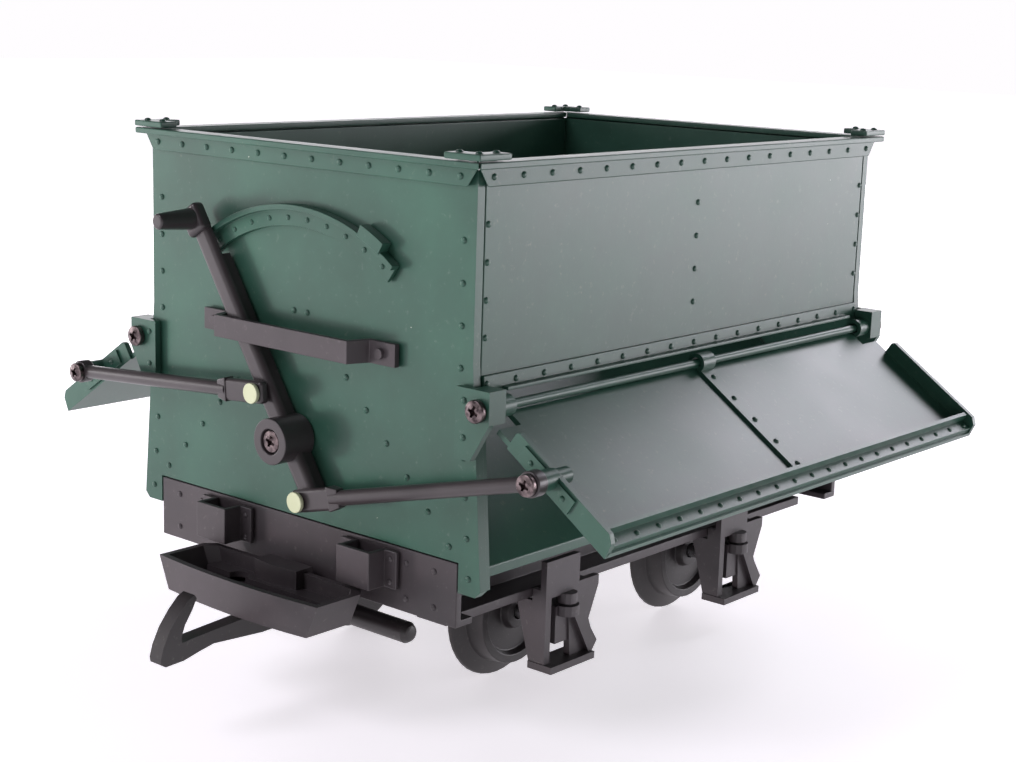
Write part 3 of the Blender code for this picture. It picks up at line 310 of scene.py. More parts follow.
def moulded_abs(name, base, lighter, darker, rough, dust_from=0.62):
    material, tree, shader = blank(name)
    where = add_node(tree, "ShaderNodeTexCoord").outputs["Object"]
    mottle = add_node(tree, "ShaderNodeTexNoise", {"Vector": where},
                      {"Scale": 1.0 / MOTTLE, "Detail": 5.0, "Roughness": 0.6}).outputs["Fac"]
    tint = add_node(tree, "ShaderNodeValToRGB", {"Fac": mottle},
                    stops=[(0.30, darker), (0.52, base), (0.74, lighter)])
    # dust lies as a film in patches, and as single pale specks a few millimetres apart
    haze = add_node(tree, "ShaderNodeTexNoise", {"Vector": where},
                    {"Scale": 1.0 / DUST, "Detail": 3.0, "Roughness": 0.7})
    film = add_node(tree, "ShaderNodeMapRange", {"Value": haze.outputs["Fac"]},
                    {"From Min": dust_from, "From Max": 0.95, "To Max": 0.30})
    dusted = add_node(tree, "ShaderNodeMix", {0: film.outputs["Result"], 6: tint.outputs["Color"]},
                      {7: colour("#9C9A92")}, data_type="RGBA")
    cells = add_node(tree, "ShaderNodeTexVoronoi", {"Vector": where}, {"Scale": 1.0 / SPECK_CELL})
    chance = add_node(tree, "ShaderNodeTexWhiteNoise", {"Vector": cells.outputs["Position"]})
    near = add_node(tree, "ShaderNodeMath", {0: cells.outputs["Distance"]}, {1: SPECK_SIZE},
                    operation="LESS_THAN")
    few = add_node(tree, "ShaderNodeMath", {0: chance.outputs["Value"]}, {1: SPECKS_FROM},
                   operation="GREATER_THAN")
    speck = add_node(tree, "ShaderNodeMath", {0: near.outputs[0], 1: few.outputs[0]},
                     operation="MULTIPLY")
    specked = add_node(tree, "ShaderNodeMix", {0: speck.outputs[0], 6: dusted.outputs[2]},
                       {7: colour("#D8D6CC")}, data_type="RGBA")
    tree.links.new(shader.inputs["Base Color"], specked.outputs[2])
    worn = add_node(tree, "ShaderNodeMapRange", {"Value": mottle},
                    {"To Min": rough - 0.05, "To Max": rough + 0.07})
    tree.links.new(shader.inputs["Roughness"], worn.outputs["Result"])
    # the bump is the spark-eroded grain with faint scratches drawn out along the wagon
    grain = add_node(tree, "ShaderNodeTexNoise", {"Vector": where},
                     {"Scale": 1.0 / GRAIN, "Detail": 2.0})
    drawn = add_node(tree, "ShaderNodeMapping", {"Vector": where},
                     {"Scale": (1.0, 0.06, 0.35), "Rotation": (0.5, 0.3, 0.9)})
    scratch = add_node(tree, "ShaderNodeTexNoise", {"Vector": drawn.outputs["Vector"]},
                       {"Scale": 1.0 / SCRATCH, "Detail": 1.0})
    both = add_node(tree, "ShaderNodeMath", {0: grain.outputs["Fac"], 1: scratch.outputs["Fac"]},
                    operation="ADD")
    bump = add_node(tree, "ShaderNodeBump", {"Height": both.outputs[0]},
                    {"Strength": 0.10, "Distance": GRAIN_DEPTH})
    tree.links.new(shader.inputs["Normal"], bump.outputs["Normal"])
    shader.inputs["IOR"].default_value = ABS_IOR
    return material


green_abs = moulded_abs("Moulded ABS, locomotive green", "#274B3E", "#2D5445", "#214236", 0.36)
black_abs = moulded_abs("Moulded ABS, soot black", "#383235", "#423C40", "#2E292C", 0.44)
print("plastics:", green_abs.name, "and", black_abs.name)

# %% [markdown]
# The two link pins are moulded in ivory ABS and hold little dust, because they are handled. The
# wheels and the coupler hooks are a deeper black, polished by running and rubbing. The lever and
# its links come glossy from a polished tool.

# %% Ivory pins, wheels and hooks, glossy lever
ivory_abs = moulded_abs("Moulded ABS, ivory", "#AFB494", "#B9BEA0", "#A0A585", 0.36, 0.80)
wheel_abs = moulded_abs("Moulded ABS, wheel black", "#1F1A1C", "#302C2D", "#1F1B1C", 0.40)
gloss_abs = moulded_abs("Moulded ABS, glossy black", "#332E30", "#3C3739", "#2A2628", 0.30, 0.70)
print("plastics in all:", len(bpy.data.materials))

# %% [markdown]
# ## Plated and bright steel
# The screws are steel with a dark nickel plate, worn bright in patches. The axles are bright
# drawn steel. One function makes both: a slow noise mixes two tints and varies the roughness.


# %% Metal finishes
def plated_steel(name, dark, light, rough, scale):
    material, tree, shader = blank(name)
    where = add_node(tree, "ShaderNodeTexCoord").outputs["Object"]
    patches = add_node(tree, "ShaderNodeTexNoise", {"Vector": where},
                       {"Scale": 1.0 / scale, "Detail": 6.0, "Roughness": 0.65}).outputs["Fac"]
    tint = add_node(tree, "ShaderNodeValToRGB", {"Fac": patches}, stops=[(0.35, dark), (0.65, light)])
    tree.links.new(shader.inputs["Base Color"], tint.outputs["Color"])
    spread = add_node(tree, "ShaderNodeMapRange", {"Value": patches},
                      {"To Min": rough - 0.08, "To Max": rough + 0.12})
    tree.links.new(shader.inputs["Roughness"], spread.outputs["Result"])
    shader.inputs["Metallic"].default_value = 1.0
    return material


nickel = plated_steel("Steel, dark nickel plate", "#3E3638", "#8A7C7C", 0.30, 1.2 * MM)
bright_steel = plated_steel("Steel, bright drawn", "#9A9A9C", "#C8C8CA", 0.26, 2.0 * MM)
print("metals:", nickel.name, "and", bright_steel.name)

# %% [markdown]
# ## Soft edges for the moulded parts
# A frame node is loose triangles with knife edges. A moulding has a small radius on every
# edge, which catches the light as a thin line. So each node is copied, its triangles are merged
# into clean faces, and a bevel of a few tenths of a millimetre goes round its edges.


# %% Copy a node and round it
MERGE = 0.004 * MM
FLAT_WITHIN = math.radians(1.5)


def moulding(node, body, material, slot_name, radius):
    item = copy_of(frame["nodes"][node], node + "_moulding")
    item.parent = None
    item.matrix_world = Matrix()

    def clean():
        bpy.ops.mesh.remove_doubles(threshold=MERGE)
        bpy.ops.mesh.dissolve_limited(angle_limit=FLAT_WITHIN)

    edit(item, clean)
    soften(item, radius)
    return finish(item, material, body, slot_name, node)


GREEN, BLACK = "green_shell", "black_frame"
THIN_EDGE = 0.20 * MM
SHEET_EDGE = 0.22 * MM
PLATE_EDGE = 0.25 * MM
for end, _ in ENDS:
    moulding("end_wall_" + end, "frame", green_abs, GREEN, SHEET_EDGE)
    moulding("rim_angle_" + end, "frame", green_abs, GREEN, THIN_EDGE)
    moulding("headstock_" + end, "frame", black_abs, BLACK, PLATE_EDGE)
    moulding("coupler_tray_" + end, "coupler_" + end, black_abs, BLACK, 0.30 * MM)
    moulding("coupler_hook_" + end, "hook_" + end, wheel_abs, BLACK, 0.55 * MM)
    moulding("axle_" + end, "wheelset_" + end, bright_steel, "axle_steel", 0.15 * MM)
    for hand, _ in HANDS:
        spot = "_%s_%s" % (end, hand)
        moulding("corner_gusset" + spot, "frame", green_abs, GREEN, PLATE_EDGE)
        moulding("hinge_bracket" + spot, "frame", green_abs, GREEN, PLATE_EDGE)
        moulding("buffer_pocket" + spot, "frame", black_abs, BLACK, SHEET_EDGE)
        moulding("axle_guard" + spot, "frame", black_abs, BLACK, SHEET_EDGE)
        moulding("wheel" + spot, "wheelset_" + end, wheel_abs, BLACK, THIN_EDGE)
for hand, _ in HANDS:
    moulding("side_wall_" + hand, "frame", green_abs, GREEN, SHEET_EDGE)
    moulding("rim_angle_" + hand, "frame", green_abs, GREEN, THIN_EDGE)
    moulding("hinge_rod_" + hand, "frame", green_abs, GREEN, 0.15 * MM)
    moulding("sole_bar_" + hand, "frame", black_abs, BLACK, SHEET_EDGE)
    moulding("door_" + hand, "door_" + hand, green_abs, GREEN, SHEET_EDGE)
moulding("saddle_floor", "frame", green_abs, GREEN, 0.30 * MM)
moulding("underframe_floor", "frame", black_abs, BLACK, SHEET_EDGE)
moulding("lever_quadrant", "frame", green_abs, GREEN, 0.18 * MM)
moulding("lever_guard", "frame", black_abs, BLACK, SHEET_EDGE)
moulding("upper_link_pin", "lever", ivory_abs, "ivory_pins", SHEET_EDGE)
moulding("lower_link_pin", "lever", ivory_abs, "ivory_pins", SHEET_EDGE)

# %% [markdown]
# ## Rivets
# Every sheet joint of the full-size wagon is riveted, and the mould copies the heads as small
# domes. One dome is made from a sphere, cut in half and flattened. It is then copied along each
# row, turned so that its axis follows the surface it sits on.

# %% One rivet head
RIVET_RADIUS = 0.66 * MM
RIVET_HEIGHT = 0.42 * MM

bpy.ops.mesh.primitive_uv_sphere_add(segments=12, ring_count=8, radius=RIVET_RADIUS)
rivet = made("rivet_pattern")
rivet.scale.z = RIVET_HEIGHT / RIVET_RADIUS
settle(rivet)
edit(rivet, lambda: bpy.ops.mesh.bisect(plane_co=(0, 0, -0.02 * MM), plane_no=(0, 0, 1),
                                        clear_inner=True, use_fill=True))
smooth(rivet, 60.0)
print("rivet faces:", len(rivet.data.polygons))

# %% [markdown]
# The rim and the foot of each side sheet carry long even rows, and three upright columns mark the
# posts behind the sheet.


# %% Rows of rivets on the sides
def rivets(name, spots, outward, material, body, slot_name, size=1.0):
    """Rivet heads at world points, each with its axis along outward."""
    turn = Vector(outward).to_track_quat("Z", "Y").to_matrix().to_4x4()
    heads = []
    for spot in spots:
        head = copy_of(rivet, name)
        head.matrix_world = Matrix.Translation(spot) @ turn @ Matrix.Scale(size, 4)
        heads.append(head)
    return finish(joined(name, heads), material, body, slot_name)


def row(count, pitch):
    """Places along a line, centred on zero."""
    return [pitch * (i - (count - 1) / 2) for i in range(count)]


RIM_ROW = RIM_TOP - 2.75 * MM
STRIP_ROW = 72.2 * MM
SIDE_PITCH = 8.26 * MM
COLUMN_TOP = 101.6                   # upright columns, in millimetres
COLUMN_PITCH = 6.97
COLUMN_X = 66.05 * MM
for hand, sy in HANDS:
    along = row(17, SIDE_PITCH)
    rivets("rim_rivets_" + hand, [(x, sy * SIDE_LEG_FACE, RIM_ROW) for x in along], (0, sy, 0),
           green_abs, "frame", GREEN)
    rivets("strip_rivets_" + hand, [(x, sy * STRIP_FACE, STRIP_ROW) for x in along], (0, sy, 0),
           green_abs, "frame", GREEN)
    columns = [(x, sy * SIDE_FACE, (COLUMN_TOP - COLUMN_PITCH * k) * MM)
               for x in (-COLUMN_X, 0.0, COLUMN_X) for k in range(4)]
    rivets("side_rivets_" + hand, columns, (0, sy, 0), green_abs, "frame", GREEN)
print("rivets on one side:", 2 * len(along) + len(columns))

# %% [markdown]
# An end wall shows where the saddle floor meets it: two slanting rows of rivets follow the floor
# at 45 degrees. Other rows follow the flared edges and the rim. Rows are given in millimetres.

# %% Rivets of the end walls
END_PITCH = 7.77 * MM
EDGE_Y, EDGE_TOP, EDGE_PITCH = 43.0, 98.6, 7.87      # straight part of the upright edge
FLARE_Y, FLARE_SLOPE = 44.2, 0.09                    # flared part, further out as it goes down
FLARE_ROW = (58.2, 50.7, 42.9, 35.2)
SADDLE_Y, SADDLE_TOP, SADDLE_PITCH = 1.9, 79.8, 5.62
BRACKET_Y, BRACKET_ROW = 45.5, (69.6, 62.6)
GUSSET_INSETS = ((2.0, 2.0), (6.8, 2.1), (2.1, 6.8))
EAR_OUT, EAR_Y, EAR_ROW = 1.2, 6.1, (35.0, 30.4)     # ears of the buffer pockets
BEAM_Y, BEAM_ROW = (-37.6, -30.3, 30.3, 37.6), (34.7, 27.5)
for end, sx in ENDS:
    out = (sx, 0, 0)
    rivets("rim_rivets_" + end, [(sx * END_LEG_FACE, y, RIM_ROW) for y in row(12, END_PITCH)], out,
           green_abs, "frame", GREEN)
    spots = []
    for sy in (-1, 1):
        spots += [(sx * END_FACE, sy * EDGE_Y * MM, (EDGE_TOP - EDGE_PITCH * k) * MM)
                  for k in range(4)]
        spots += [(sx * END_FACE, sy * (FLARE_Y + FLARE_SLOPE * (FLARE_ROW[0] - z)) * MM, z * MM)
                  for z in FLARE_ROW]
        spots += [(sx * END_FACE, sy * (SADDLE_Y + SADDLE_PITCH * k) * MM,
                   (SADDLE_TOP - SADDLE_PITCH * k) * MM) for k in range(8)]
    rivets("end_rivets_" + end, spots, out, green_abs, "frame", GREEN)
    for hand, sy in HANDS:
        plate = "hinge_bracket_%s_%s" % (end, hand)
        face = high(plate).x if sx > 0 else low(plate).x
        rivets(plate + "_rivets", [(face, sy * BRACKET_Y * MM, z * MM) for z in BRACKET_ROW], out,
               green_abs, "frame", GREEN)
        corner = "corner_gusset_%s_%s" % (end, hand)
        edge = Vector((max(abs(low(corner).x), abs(high(corner).x)),
                       max(abs(low(corner).y), abs(high(corner).y))))
        tops = [(sx * (edge.x - a * MM), sy * (edge.y - b * MM), GUSSET_TOP)
                for a, b in GUSSET_INSETS]
        rivets(corner + "_rivets", tops, (0, 0, 1), green_abs, "frame", GREEN, 1.15)
        pocket = "buffer_pocket_%s_%s" % (end, hand)
        ear = sx * (END_FACE + EAR_OUT * MM)
        ears = [(ear, middle(pocket).y + side * EAR_Y * MM, z * MM)
                for side in (-1, 1) for z in EAR_ROW]
        rivets(pocket + "_rivets", ears, out, black_abs, "frame", BLACK, 0.9)
    beam = [(sx * END_FACE, y * MM, z * MM) for y in BEAM_Y for z in BEAM_ROW]
    rivets("headstock_rivets_" + end, beam, out, black_abs, "frame", BLACK)
print("rivets on one end sheet:", len(spots), "and on its headstock:", len(beam))

# %% [markdown]
# The quadrant is an angle bent to an arc round the lever's axis, so its rivets sit on a circle.

# %% Rivets of the quadrant
ARC_ROW = 43.9 * MM
ARC_FROM, ARC_STEP = -32.3, 7.15     # degrees from upright
ARC_FACE = low("lever_quadrant").x + 1.6 * MM
arc = []
for k in range(10):
    turn = math.radians(ARC_FROM + ARC_STEP * k)
    arc.append((ARC_FACE, ARC_ROW * math.sin(turn), LEVER_AXIS.z + ARC_ROW * math.cos(turn)))
rivets("quadrant_rivets", arc, (-1, 0, 0), green_abs, "frame", GREEN, 0.85)
print("rivets on the quadrant:", len(arc))


# %% [markdown]
# ## Rivets on the doors
# A door is easiest to think of in its own plane: how far along the wagon, how far out from the
# hinge, and how high above the plane. One function turns that into a place on the open door.


# %% Door coordinates and door rivets
def door_axes(sy):
    """Unit vectors outward along the door and up from it, with the door open."""
    outward = Vector((0.0, sy * math.cos(DOOR_OPEN), -math.sin(DOOR_OPEN)))
    upward = Vector((0.0, sy * math.sin(DOOR_OPEN), math.cos(DOOR_OPEN)))
    return outward, upward


def on_door(sy, x, reach, height):
    outward, upward = door_axes(sy)
    hinge = Vector((0.0, sy * abs(HINGE.y), HINGE.z))
    return hinge + Vector((x, 0, 0)) + outward * reach + upward * height


FLANGE_FACE = END_FACE - 0.2 * MM
DOUBLER = 0.5 * MM                   # the doubler plate on the near flange
LIP_REACH, LIP_PITCH = 34.2 * MM, 6.59 * MM
STRAP_FROM, STRAP_PITCH = 4.2, 6.5
FAR_ROW = (9.8, 15.5, 22.1, 28.6)
NEAR_ROW = (14.0, 23.0)
for hand, sy in HANDS:
    body, up = "door_" + hand, door_axes(sy)[1]
    lip = [on_door(sy, x, LIP_REACH, 0.0) for x in row(21, LIP_PITCH)]
    rivets("lip_rivets_" + hand, lip, up, green_abs, body, GREEN, 0.9)
    strap = [on_door(sy, 0.0, (STRAP_FROM + STRAP_PITCH * k) * MM, -0.5 * MM) for k in range(5)]
    rivets("strap_rivets_" + hand, strap, up, green_abs, body, GREEN)
    far = [on_door(sy, FLANGE_FACE, d * MM, -0.4 * MM) for d in FAR_ROW]
    rivets("flange_rivets_far_" + hand, far, (1, 0, 0), green_abs, body, GREEN, 0.9)
    near = [on_door(sy, -FLANGE_FACE - DOUBLER, d * MM, 0.0) for d in NEAR_ROW]
    rivets("flange_rivets_near_" + hand, near, (-1, 0, 0), green_abs, body, GREEN, 0.9)
print("rivets on one door:", len(lip + strap + far + near))

bpy.data.objects.remove(rivet, do_unlink=True)

# %% [markdown]
# ## Cross-head screws
# A pan-head screw is a low dome with a cross driven into it. The dome is a cylinder whose top is
# inset and lifted. The cross is cut by two thin blades at right angles, because a boolean gives
# the crisp recess that a bump map can't.

# %% A pan-head screw
BLADE_REACH = 0.56                   # half length and half width of a blade, per head radius
BLADE_HALF = 0.14
BLADE_TURNS = (20.0, 110.0)


def cross_screw(name, centre, radius, thick, shank_radius, shank):
    """A screw whose head faces -X at centre, which is the middle of the head's front."""
    front, back = Vector(centre), Vector(centre) + Vector((thick, 0, 0))
    head = cylinder(name, radius, back, front, 40)

    def dome():
        select_faces(head, lambda c, n: n.x < -0.9)
        bpy.ops.mesh.inset(thickness=radius * 0.18)
        bpy.ops.mesh.inset(thickness=radius * 0.2)
        bpy.ops.transform.translate(value=(-thick * 0.16, 0, 0))
        bpy.ops.mesh.inset(thickness=radius * 0.25)
        bpy.ops.transform.translate(value=(-thick * 0.10, 0, 0))

    edit(head, dome)
    soften(head, radius * 0.10, 3, 40.0)
    for angle in BLADE_TURNS:
        blade = cube("blade", (-thick * 0.5, -radius * BLADE_REACH, -radius * BLADE_HALF),
                     (thick * 0.62, radius * BLADE_REACH, radius * BLADE_HALF))
        place(blade, Matrix.Translation(front) @ Matrix.Rotation(math.radians(angle), 4, "X"))
        apply_modifier(head, "BOOLEAN", object=blade, operation="DIFFERENCE", solver="EXACT")
        bpy.data.objects.remove(blade, do_unlink=True)
    pit = cylinder("pit", radius * 0.30, front + Vector((thick * 0.7, 0, 0)),
                   front - Vector((thick, 0, 0)), 16)
    apply_modifier(head, "BOOLEAN", object=pit, operation="DIFFERENCE", solver="EXACT")
    bpy.data.objects.remove(pit, do_unlink=True)
    stem = cylinder("stem", shank_radius, back - Vector((0.1 * MM, 0, 0)),
                    back + Vector((shank, 0, 0)), 24)
    whole = joined(name, [head, stem])
    return smooth(whole, 32.0)


# %% [markdown]
# A screw holds each end of both hinge rods, and one longer screw is the lever's axle.


# %% Hinge screws and the lever's screw
def turned_about(item, sx):
    """Turn a screw half round about Z for the far end, so that it faces +X there."""
    if sx > 0:
        place(item, Matrix.Rotation(math.pi, 4, "Z"))
    return item


for end, sx in ENDS:
    for hand, sy in HANDS:
        node = "hinge_screw_%s_%s" % (end, hand)
        head_front = max(abs(low(node).x), abs(high(node).x))
        spot = (-head_front + 0.25 * MM, sy * abs(HINGE.y) * -sx, HINGE.z)
        item = cross_screw(node + "_head", spot, radius=2.2 * MM, thick=1.2 * MM,
                           shank_radius=1.0 * MM, shank=4.0 * MM)
        finish(turned_about(item, sx), nickel, "frame", "screws", node)

pivot = low("lever_pivot_screw")
item = cross_screw("lever_pivot_head", (pivot.x + 0.3 * MM, 0.0, LEVER_AXIS.z), radius=2.25 * MM,
                   thick=0.9 * MM, shank_radius=0.85 * MM, shank=8.4 * MM)
finish(item, nickel, "frame", "screws", "lever_pivot_screw")
print("hinge and pivot screws:", len(ENDS) * len(HANDS) + 1)

# %% [markdown]
# ## The discharge lever
# The lever is a bar with a rounded front, a thick boss at its axis and a block at its top that
# turns into a round grip. It is built upright about the axis, where it is simplest, and then
# leaned over as the open doors hold it.

# %% Sizes of the lever
BAR_FRONT = -END_FACE - 4.5 * MM
BAR_THIN = -END_FACE - 3.0 * MM
BAR_BACK = -END_FACE - 0.6 * MM
BAR_HALF = 2.4 * MM
BAR_ROUND = 1.42 * MM
WEB_IN = 0.3 * MM                    # the web behind the bar is a little narrower
WEB_TOP = 40.4 * MM                  # it ends under the quadrant, which the bar passes over
BOSS_RADIUS = 4.7 * MM
BOSS_FRONT = -END_FACE - 8.1 * MM
BOSS_RIM, BOSS_SINK = 2.1 * MM, 1.1 * MM
GRIP_RADIUS, GRIP_TIP = 2.35 * MM, 1.6 * MM
ARM = math.hypot(middle("lever_grip").y, middle("lever_grip").z - LEVER_AXIS.z)
LOWER_ARM = math.hypot(LOWER_PIN.y, LOWER_PIN.z)
UPPER_ARM = math.hypot(UPPER_PIN.y, UPPER_PIN.z)
print("lever arms:", [round(arm / MM, 1) for arm in (ARM, UPPER_ARM, LOWER_ARM)], "mm")

# %% [markdown]
# The bar's two front edges are rounded far more than the rest, so it reads as half round. The web
# behind it stiffens it and ends below the quadrant.

# %% Bar and web
bar = cube("lever_bar", (BAR_FRONT, -BAR_HALF, -LOWER_ARM - 1.6 * MM),
           (BAR_THIN, BAR_HALF, ARM - 1.0 * MM))


def round_front():
    """Bevel the two long edges at the front of the bar."""
    bpy.ops.mesh.select_all(action="DESELECT")
    bpy.ops.object.mode_set(mode="OBJECT")
    for side in bar.data.edges:
        ends = [bar.data.vertices[i].co for i in side.vertices]
        side.select = all(p.x < BAR_FRONT + 0.1 * MM for p in ends) and abs(ends[0].z - ends[1].z) > MM
    bpy.ops.object.mode_set(mode="EDIT")
    bpy.ops.mesh.select_mode(type="EDGE")
    bpy.ops.mesh.bevel(offset=BAR_ROUND, segments=6, affect="EDGES")


edit(bar, round_front)
soften(bar, 0.25 * MM, 2, 35.0)
web = cube("lever_web", (BAR_THIN - 0.2 * MM, -BAR_HALF + WEB_IN, -LOWER_ARM),
           (BAR_BACK, BAR_HALF - WEB_IN, WEB_TOP))
soften(web, 0.25 * MM)
print("bar:", len(bar.data.polygons), "faces")

# %% [markdown]
# The boss is a short drum with a recess for the screw's head. The grip tapers to a small tip with
# a bright cap, and a block with well rounded edges joins it to the bar.

# %% Boss, block and grip
boss = cylinder("lever_boss", BOSS_RADIUS, (BAR_BACK + 0.3 * MM, 0, 0), (BOSS_FRONT, 0, 0), 64)


def sink():
    select_faces(boss, lambda c, n: n.x < -0.9)
    bpy.ops.mesh.inset(thickness=BOSS_RIM)
    bpy.ops.mesh.extrude_region_move(TRANSFORM_OT_translate={"value": (BOSS_SINK, 0, 0)})


edit(boss, sink)
soften(boss, 0.22 * MM, 3)
block = cube("lever_block", (BAR_FRONT - 1.1 * MM, -BAR_HALF - 0.3 * MM, ARM - 3.4 * MM),
             (BAR_THIN + 0.4 * MM, BAR_HALF + 0.3 * MM, ARM + 2.7 * MM))
soften(block, 1.0 * MM, 4)
grip_end = low("lever_grip").x
grip = cylinder("lever_grip_bar", GRIP_RADIUS, (BAR_FRONT + 0.4 * MM, 0, ARM), (grip_end, 0, ARM),
                32, GRIP_TIP)
soften(grip, 0.45 * MM, 4)
lean = Matrix.Translation((0, 0, LEVER_AXIS.z)) @ Matrix.Rotation(-LEVER_LEAN, 4, "X")
lever = place(joined("lever_arm", [bar, web, boss, block, grip]), lean)
finish(smooth(lever), gloss_abs, "lever", BLACK, "discharge_lever", "lever_grip")

cap = cylinder("grip_cap", 1.05 * MM, (grip_end + 0.4 * MM, 0, ARM), (grip_end - 0.02 * MM, 0, ARM), 24)
edit(cap, lambda: (select_faces(cap, lambda c, n: n.x < -0.9),
                   bpy.ops.mesh.inset(thickness=0.35 * MM),
                   bpy.ops.transform.translate(value=(0.3 * MM, 0, 0))))
finish(smooth(place(cap, lean)), nickel, "lever", "screws")
print("lever:", len(lever.data.polygons), "faces")

# %% [markdown]
# ## The two links
# Each link joins a pin on the lever to a lug on a door: a forked block, a round rod and an eye
# with its screw. It is built along +Y from the pin, then turned to point at the lug.

# %% Block, rod and eye
FORK_HALF, FORK_END = 2.3 * MM, 9.4 * MM
COLLAR_HALF, COLLAR_FROM, COLLAR_END = 2.55 * MM, 8.6 * MM, 11.4 * MM
ROD_RADIUS, ROD_TIP = 1.55 * MM, 1.45 * MM
EYE_RADIUS, EYE_THICK = 2.45 * MM, 2.6 * MM
LUG_REACH, LUG_HEIGHT = 18.7 * MM, 0.6 * MM


def link(hand, sy, arm):
    """Build the link on one hand and return its length; arm is negative below the axis."""
    pin = Vector((0.0, arm * math.sin(LEVER_LEAN), LEVER_AXIS.z + arm * math.cos(LEVER_LEAN)))
    lug = on_door(sy, 0.0, LUG_REACH, LUG_HEIGHT)
    length = (lug - pin).length
    front, back = BAR_FRONT - 2.5 * MM, BAR_FRONT - 0.3 * MM
    eye_back = -END_FACE - 3.2 * MM
    eye_front = eye_back - EYE_THICK
    fork = cube("fork", (front, -2.0 * MM, -FORK_HALF), (back, FORK_END, FORK_HALF))
    soften(fork, 0.75 * MM, 3)
    collar = cube("collar", (front - 0.25 * MM, COLLAR_FROM, -COLLAR_HALF),
                  (back + 0.2 * MM, COLLAR_END, COLLAR_HALF))

    def taper():
        select_faces(collar, lambda c, n: n.y > 0.9)
        bpy.ops.transform.resize(value=(0.8, 1.0, 0.72))

    edit(collar, taper)
    soften(collar, 0.3 * MM)
    run_from = Vector(((front + back) / 2, 9.0 * MM, 0.0))
    run_to = Vector(((eye_front + eye_back) / 2, length - 1.0 * MM, 0.0))
    shaft = cylinder("shaft", ROD_RADIUS, run_from, run_to, 32, ROD_TIP)
    eye = cylinder("eye", EYE_RADIUS, (eye_back, length, 0), (eye_front, length, 0), 40)
    soften(eye, 0.3 * MM, 3)
    piece = smooth(joined("link_" + hand + "_rod", [fork, collar, shaft, eye]))
    aim = math.atan2(lug.z - pin.z, lug.y - pin.y)
    turn = Matrix.Translation(pin) @ Matrix.Rotation(aim, 4, "X")
    place(piece, turn)
    finish(piece, gloss_abs, "link_" + hand, BLACK, "door_link_" + hand)
    screw = "link_screw_" + hand
    head = cross_screw("link_" + hand + "_head", (low(screw).x + 0.2 * MM, lug.y, lug.z),
                       radius=2.05 * MM, thick=1.1 * MM, shank_radius=0.85 * MM, shank=2.6 * MM)
    finish(head, nickel, "link_" + hand, "screws", screw)
    return length


for hand, sy, arm in (("left", 1, UPPER_ARM), ("right", -1, -LOWER_ARM)):
    print(hand, "link:", round(link(hand, sy, arm) / MM, 1), "mm between its holes")

# %% [markdown]
# ## Setting: floor, light and camera
# The wagon stands on opal acrylic in a light tent whose roof is closed. The tent's walls shine
# from all round, which lays a pale sheen on the upright sheets, and the inside of the hopper stays
# dark. The acrylic glows, more so away from the wagon, so the shadows on it stay weak.

# %% Floor
acrylic, tree, shader = blank("Opal acrylic")
where = add_node(tree, "ShaderNodeTexCoord").outputs["Object"]
cloud = add_node(tree, "ShaderNodeTexNoise", {"Vector": where}, {"Scale": 14.0, "Detail": 4.0})
tint = add_node(tree, "ShaderNodeValToRGB", {"Fac": cloud.outputs["Fac"]},
                stops=[(0.35, "#EFEBEF"), (0.65, "#F6F3F6")])
tree.links.new(shader.inputs["Base Color"], tint.outputs["Color"])
shader.inputs["Roughness"].default_value = 0.55
away = add_node(tree, "ShaderNodeVectorMath", {0: where}, operation="LENGTH").outputs["Value"]
glow = add_node(tree, "ShaderNodeMapRange", {"Value": away},
                {"From Min": 0.08, "From Max": 0.42, "To Min": 0.60, "To Max": 1.0})
tree.links.new(shader.inputs["Emission Strength"], glow.outputs["Result"])
shader.inputs["Emission Color"].default_value = colour("#FBF7FC")
bpy.ops.mesh.primitive_plane_add(size=6.0, location=(0, 0, 0))
floor = made("acrylic_floor")
floor.data.materials.append(acrylic)
floor.visible_shadow = False         # the sheet lets the key lamp through
print("floor:", floor.name)

# %% [markdown]
# The tent is the world's light: bright near the horizon and almost dark overhead. The camera
# sees it as plain white.

# %% Light tent
world = bpy.data.worlds.new("Light tent")
bpy.context.scene.world = world
world.use_nodes = True
tree = world.node_tree
around = add_node(tree, "ShaderNodeTexCoord").outputs["Generated"]
height = add_node(tree, "ShaderNodeSeparateXYZ", {"Vector": around}).outputs["Z"]
walls = add_node(tree, "ShaderNodeMapRange", {"Value": height},
                 {"From Min": 0.12, "From Max": 0.65, "To Min": 0.50, "To Max": 0.03})
seen = add_node(tree, "ShaderNodeLightPath").outputs["Is Camera Ray"]
backdrop = add_node(tree, "ShaderNodeMapRange", {"Value": seen, "To Min": walls.outputs["Result"]},
                    {"To Max": 1.0})
tree.links.new(tree.nodes["Background"].inputs["Strength"], backdrop.outputs["Result"])
tree.nodes["Background"].inputs["Color"].default_value = colour("#FFFDFF")
print("tent:", world.name)

# %% [markdown]
# The key lamp is small and stands low on the left, under the sheet, so the lever and its guard
# throw crisp shadows up and to the right. The panels are large and only fill.


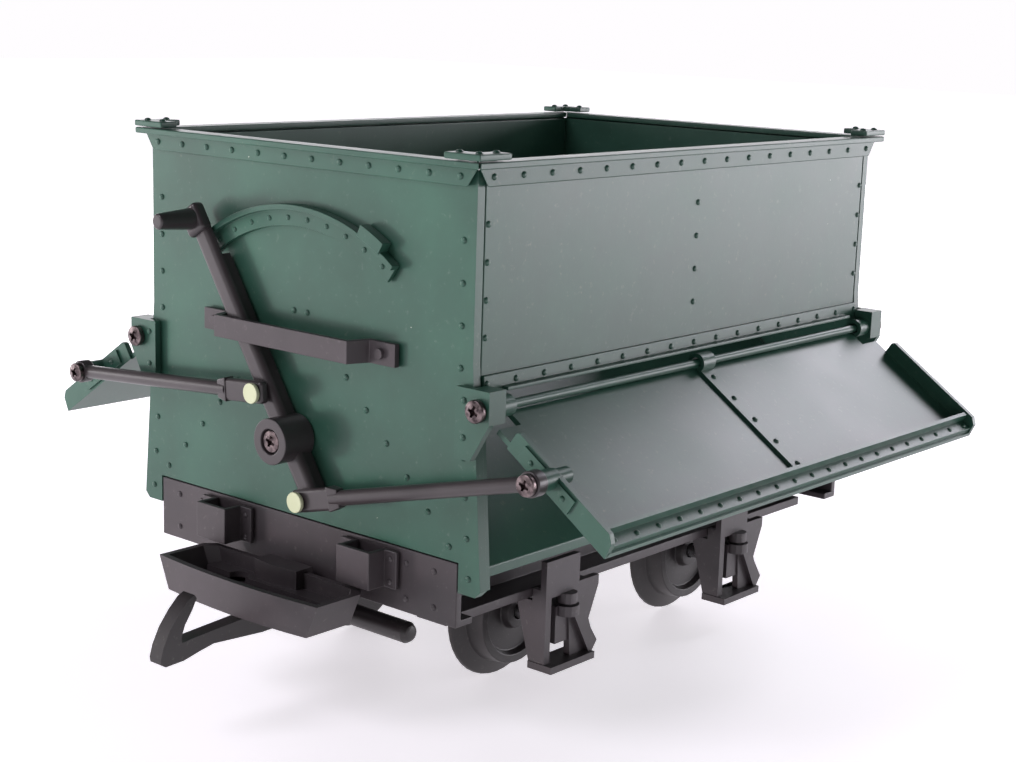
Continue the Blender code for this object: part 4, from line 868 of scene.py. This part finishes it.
# %% Lamps
def panel(name, place_at, aim_at, width, height, power, tint):
    lamp = bpy.data.lights.new(name, "AREA")
    lamp.shape = "RECTANGLE"
    lamp.size, lamp.size_y = width, height
    lamp.energy = power
    lamp.color = colour(tint)[:3]
    item = bpy.data.objects.new(name, lamp)
    bpy.context.collection.objects.link(item)
    item.location = place_at
    item.rotation_euler = (Vector(aim_at) - Vector(place_at)).to_track_quat("-Z", "Y").to_euler()
    return item


key = panel("key_lamp", (-0.60, 0.67, -0.09), (-0.07, 0, 0.06), 0.10, 0.10, 8.2, "#FFFAF8")
key.visible_glossy = False           # its reflection would burn out the end wall's sheen
panel("left_panel", (-0.42, 0.90, 0.10), (-0.05, 0, 0.06), 0.55, 0.34, 2.1, "#FFFBFD")
panel("front_panel", (-0.60, 0.22, 0.52), (-0.05, 0, 0.06), 0.3, 0.3, 2.2, "#FAF6FF")
panel("right_panel", (0.92, -0.68, 0.14), (0, 0, 0.06), 0.6, 0.34, 5.0, "#FBF8FF")
panel("back_panel", (0.95, -0.05, 0.62), (0, 0, 0.06), 0.6, 0.3, 4.6, "#F8F5FF")
panel("far_panel", (0.75, 0.80, 0.14), (0, 0, 0.08), 1.2, 0.4, 5.0, "#FCFAFF")
print("lamps:", len(bpy.data.lights))

# %% [markdown]
# ## The camera
# A short portrait lens stands a little above the rim, about 40 cm from the wagon's middle, and
# looks down at it.

# %% Camera
HEADING = 0.866
TILT = -0.205
ROLL = 0.032
EYE = (-0.3113, -0.2604, 0.1405)
ahead = Vector((math.sin(HEADING) * math.cos(TILT), math.cos(HEADING) * math.cos(TILT),
                math.sin(TILT)))
side = Vector((math.cos(HEADING), -math.sin(HEADING), 0.0))
upright = side.cross(ahead)
across = side * math.cos(ROLL) + upright * math.sin(ROLL)
above = upright * math.cos(ROLL) - side * math.sin(ROLL)
lens = bpy.data.cameras.new("camera")
lens.lens = 64.03
lens.sensor_width = 36.0
camera = bpy.data.objects.new("camera", lens)
bpy.context.collection.objects.link(camera)
axes = Matrix((across, above, -ahead)).transposed().to_4x4()
camera.matrix_world = Matrix.Translation(EYE) @ axes
bpy.context.scene.camera = camera
bpy.context.scene.view_settings.view_transform = "Standard"
print("camera:", round(Vector(EYE).length, 2), "m from the wagon's middle")
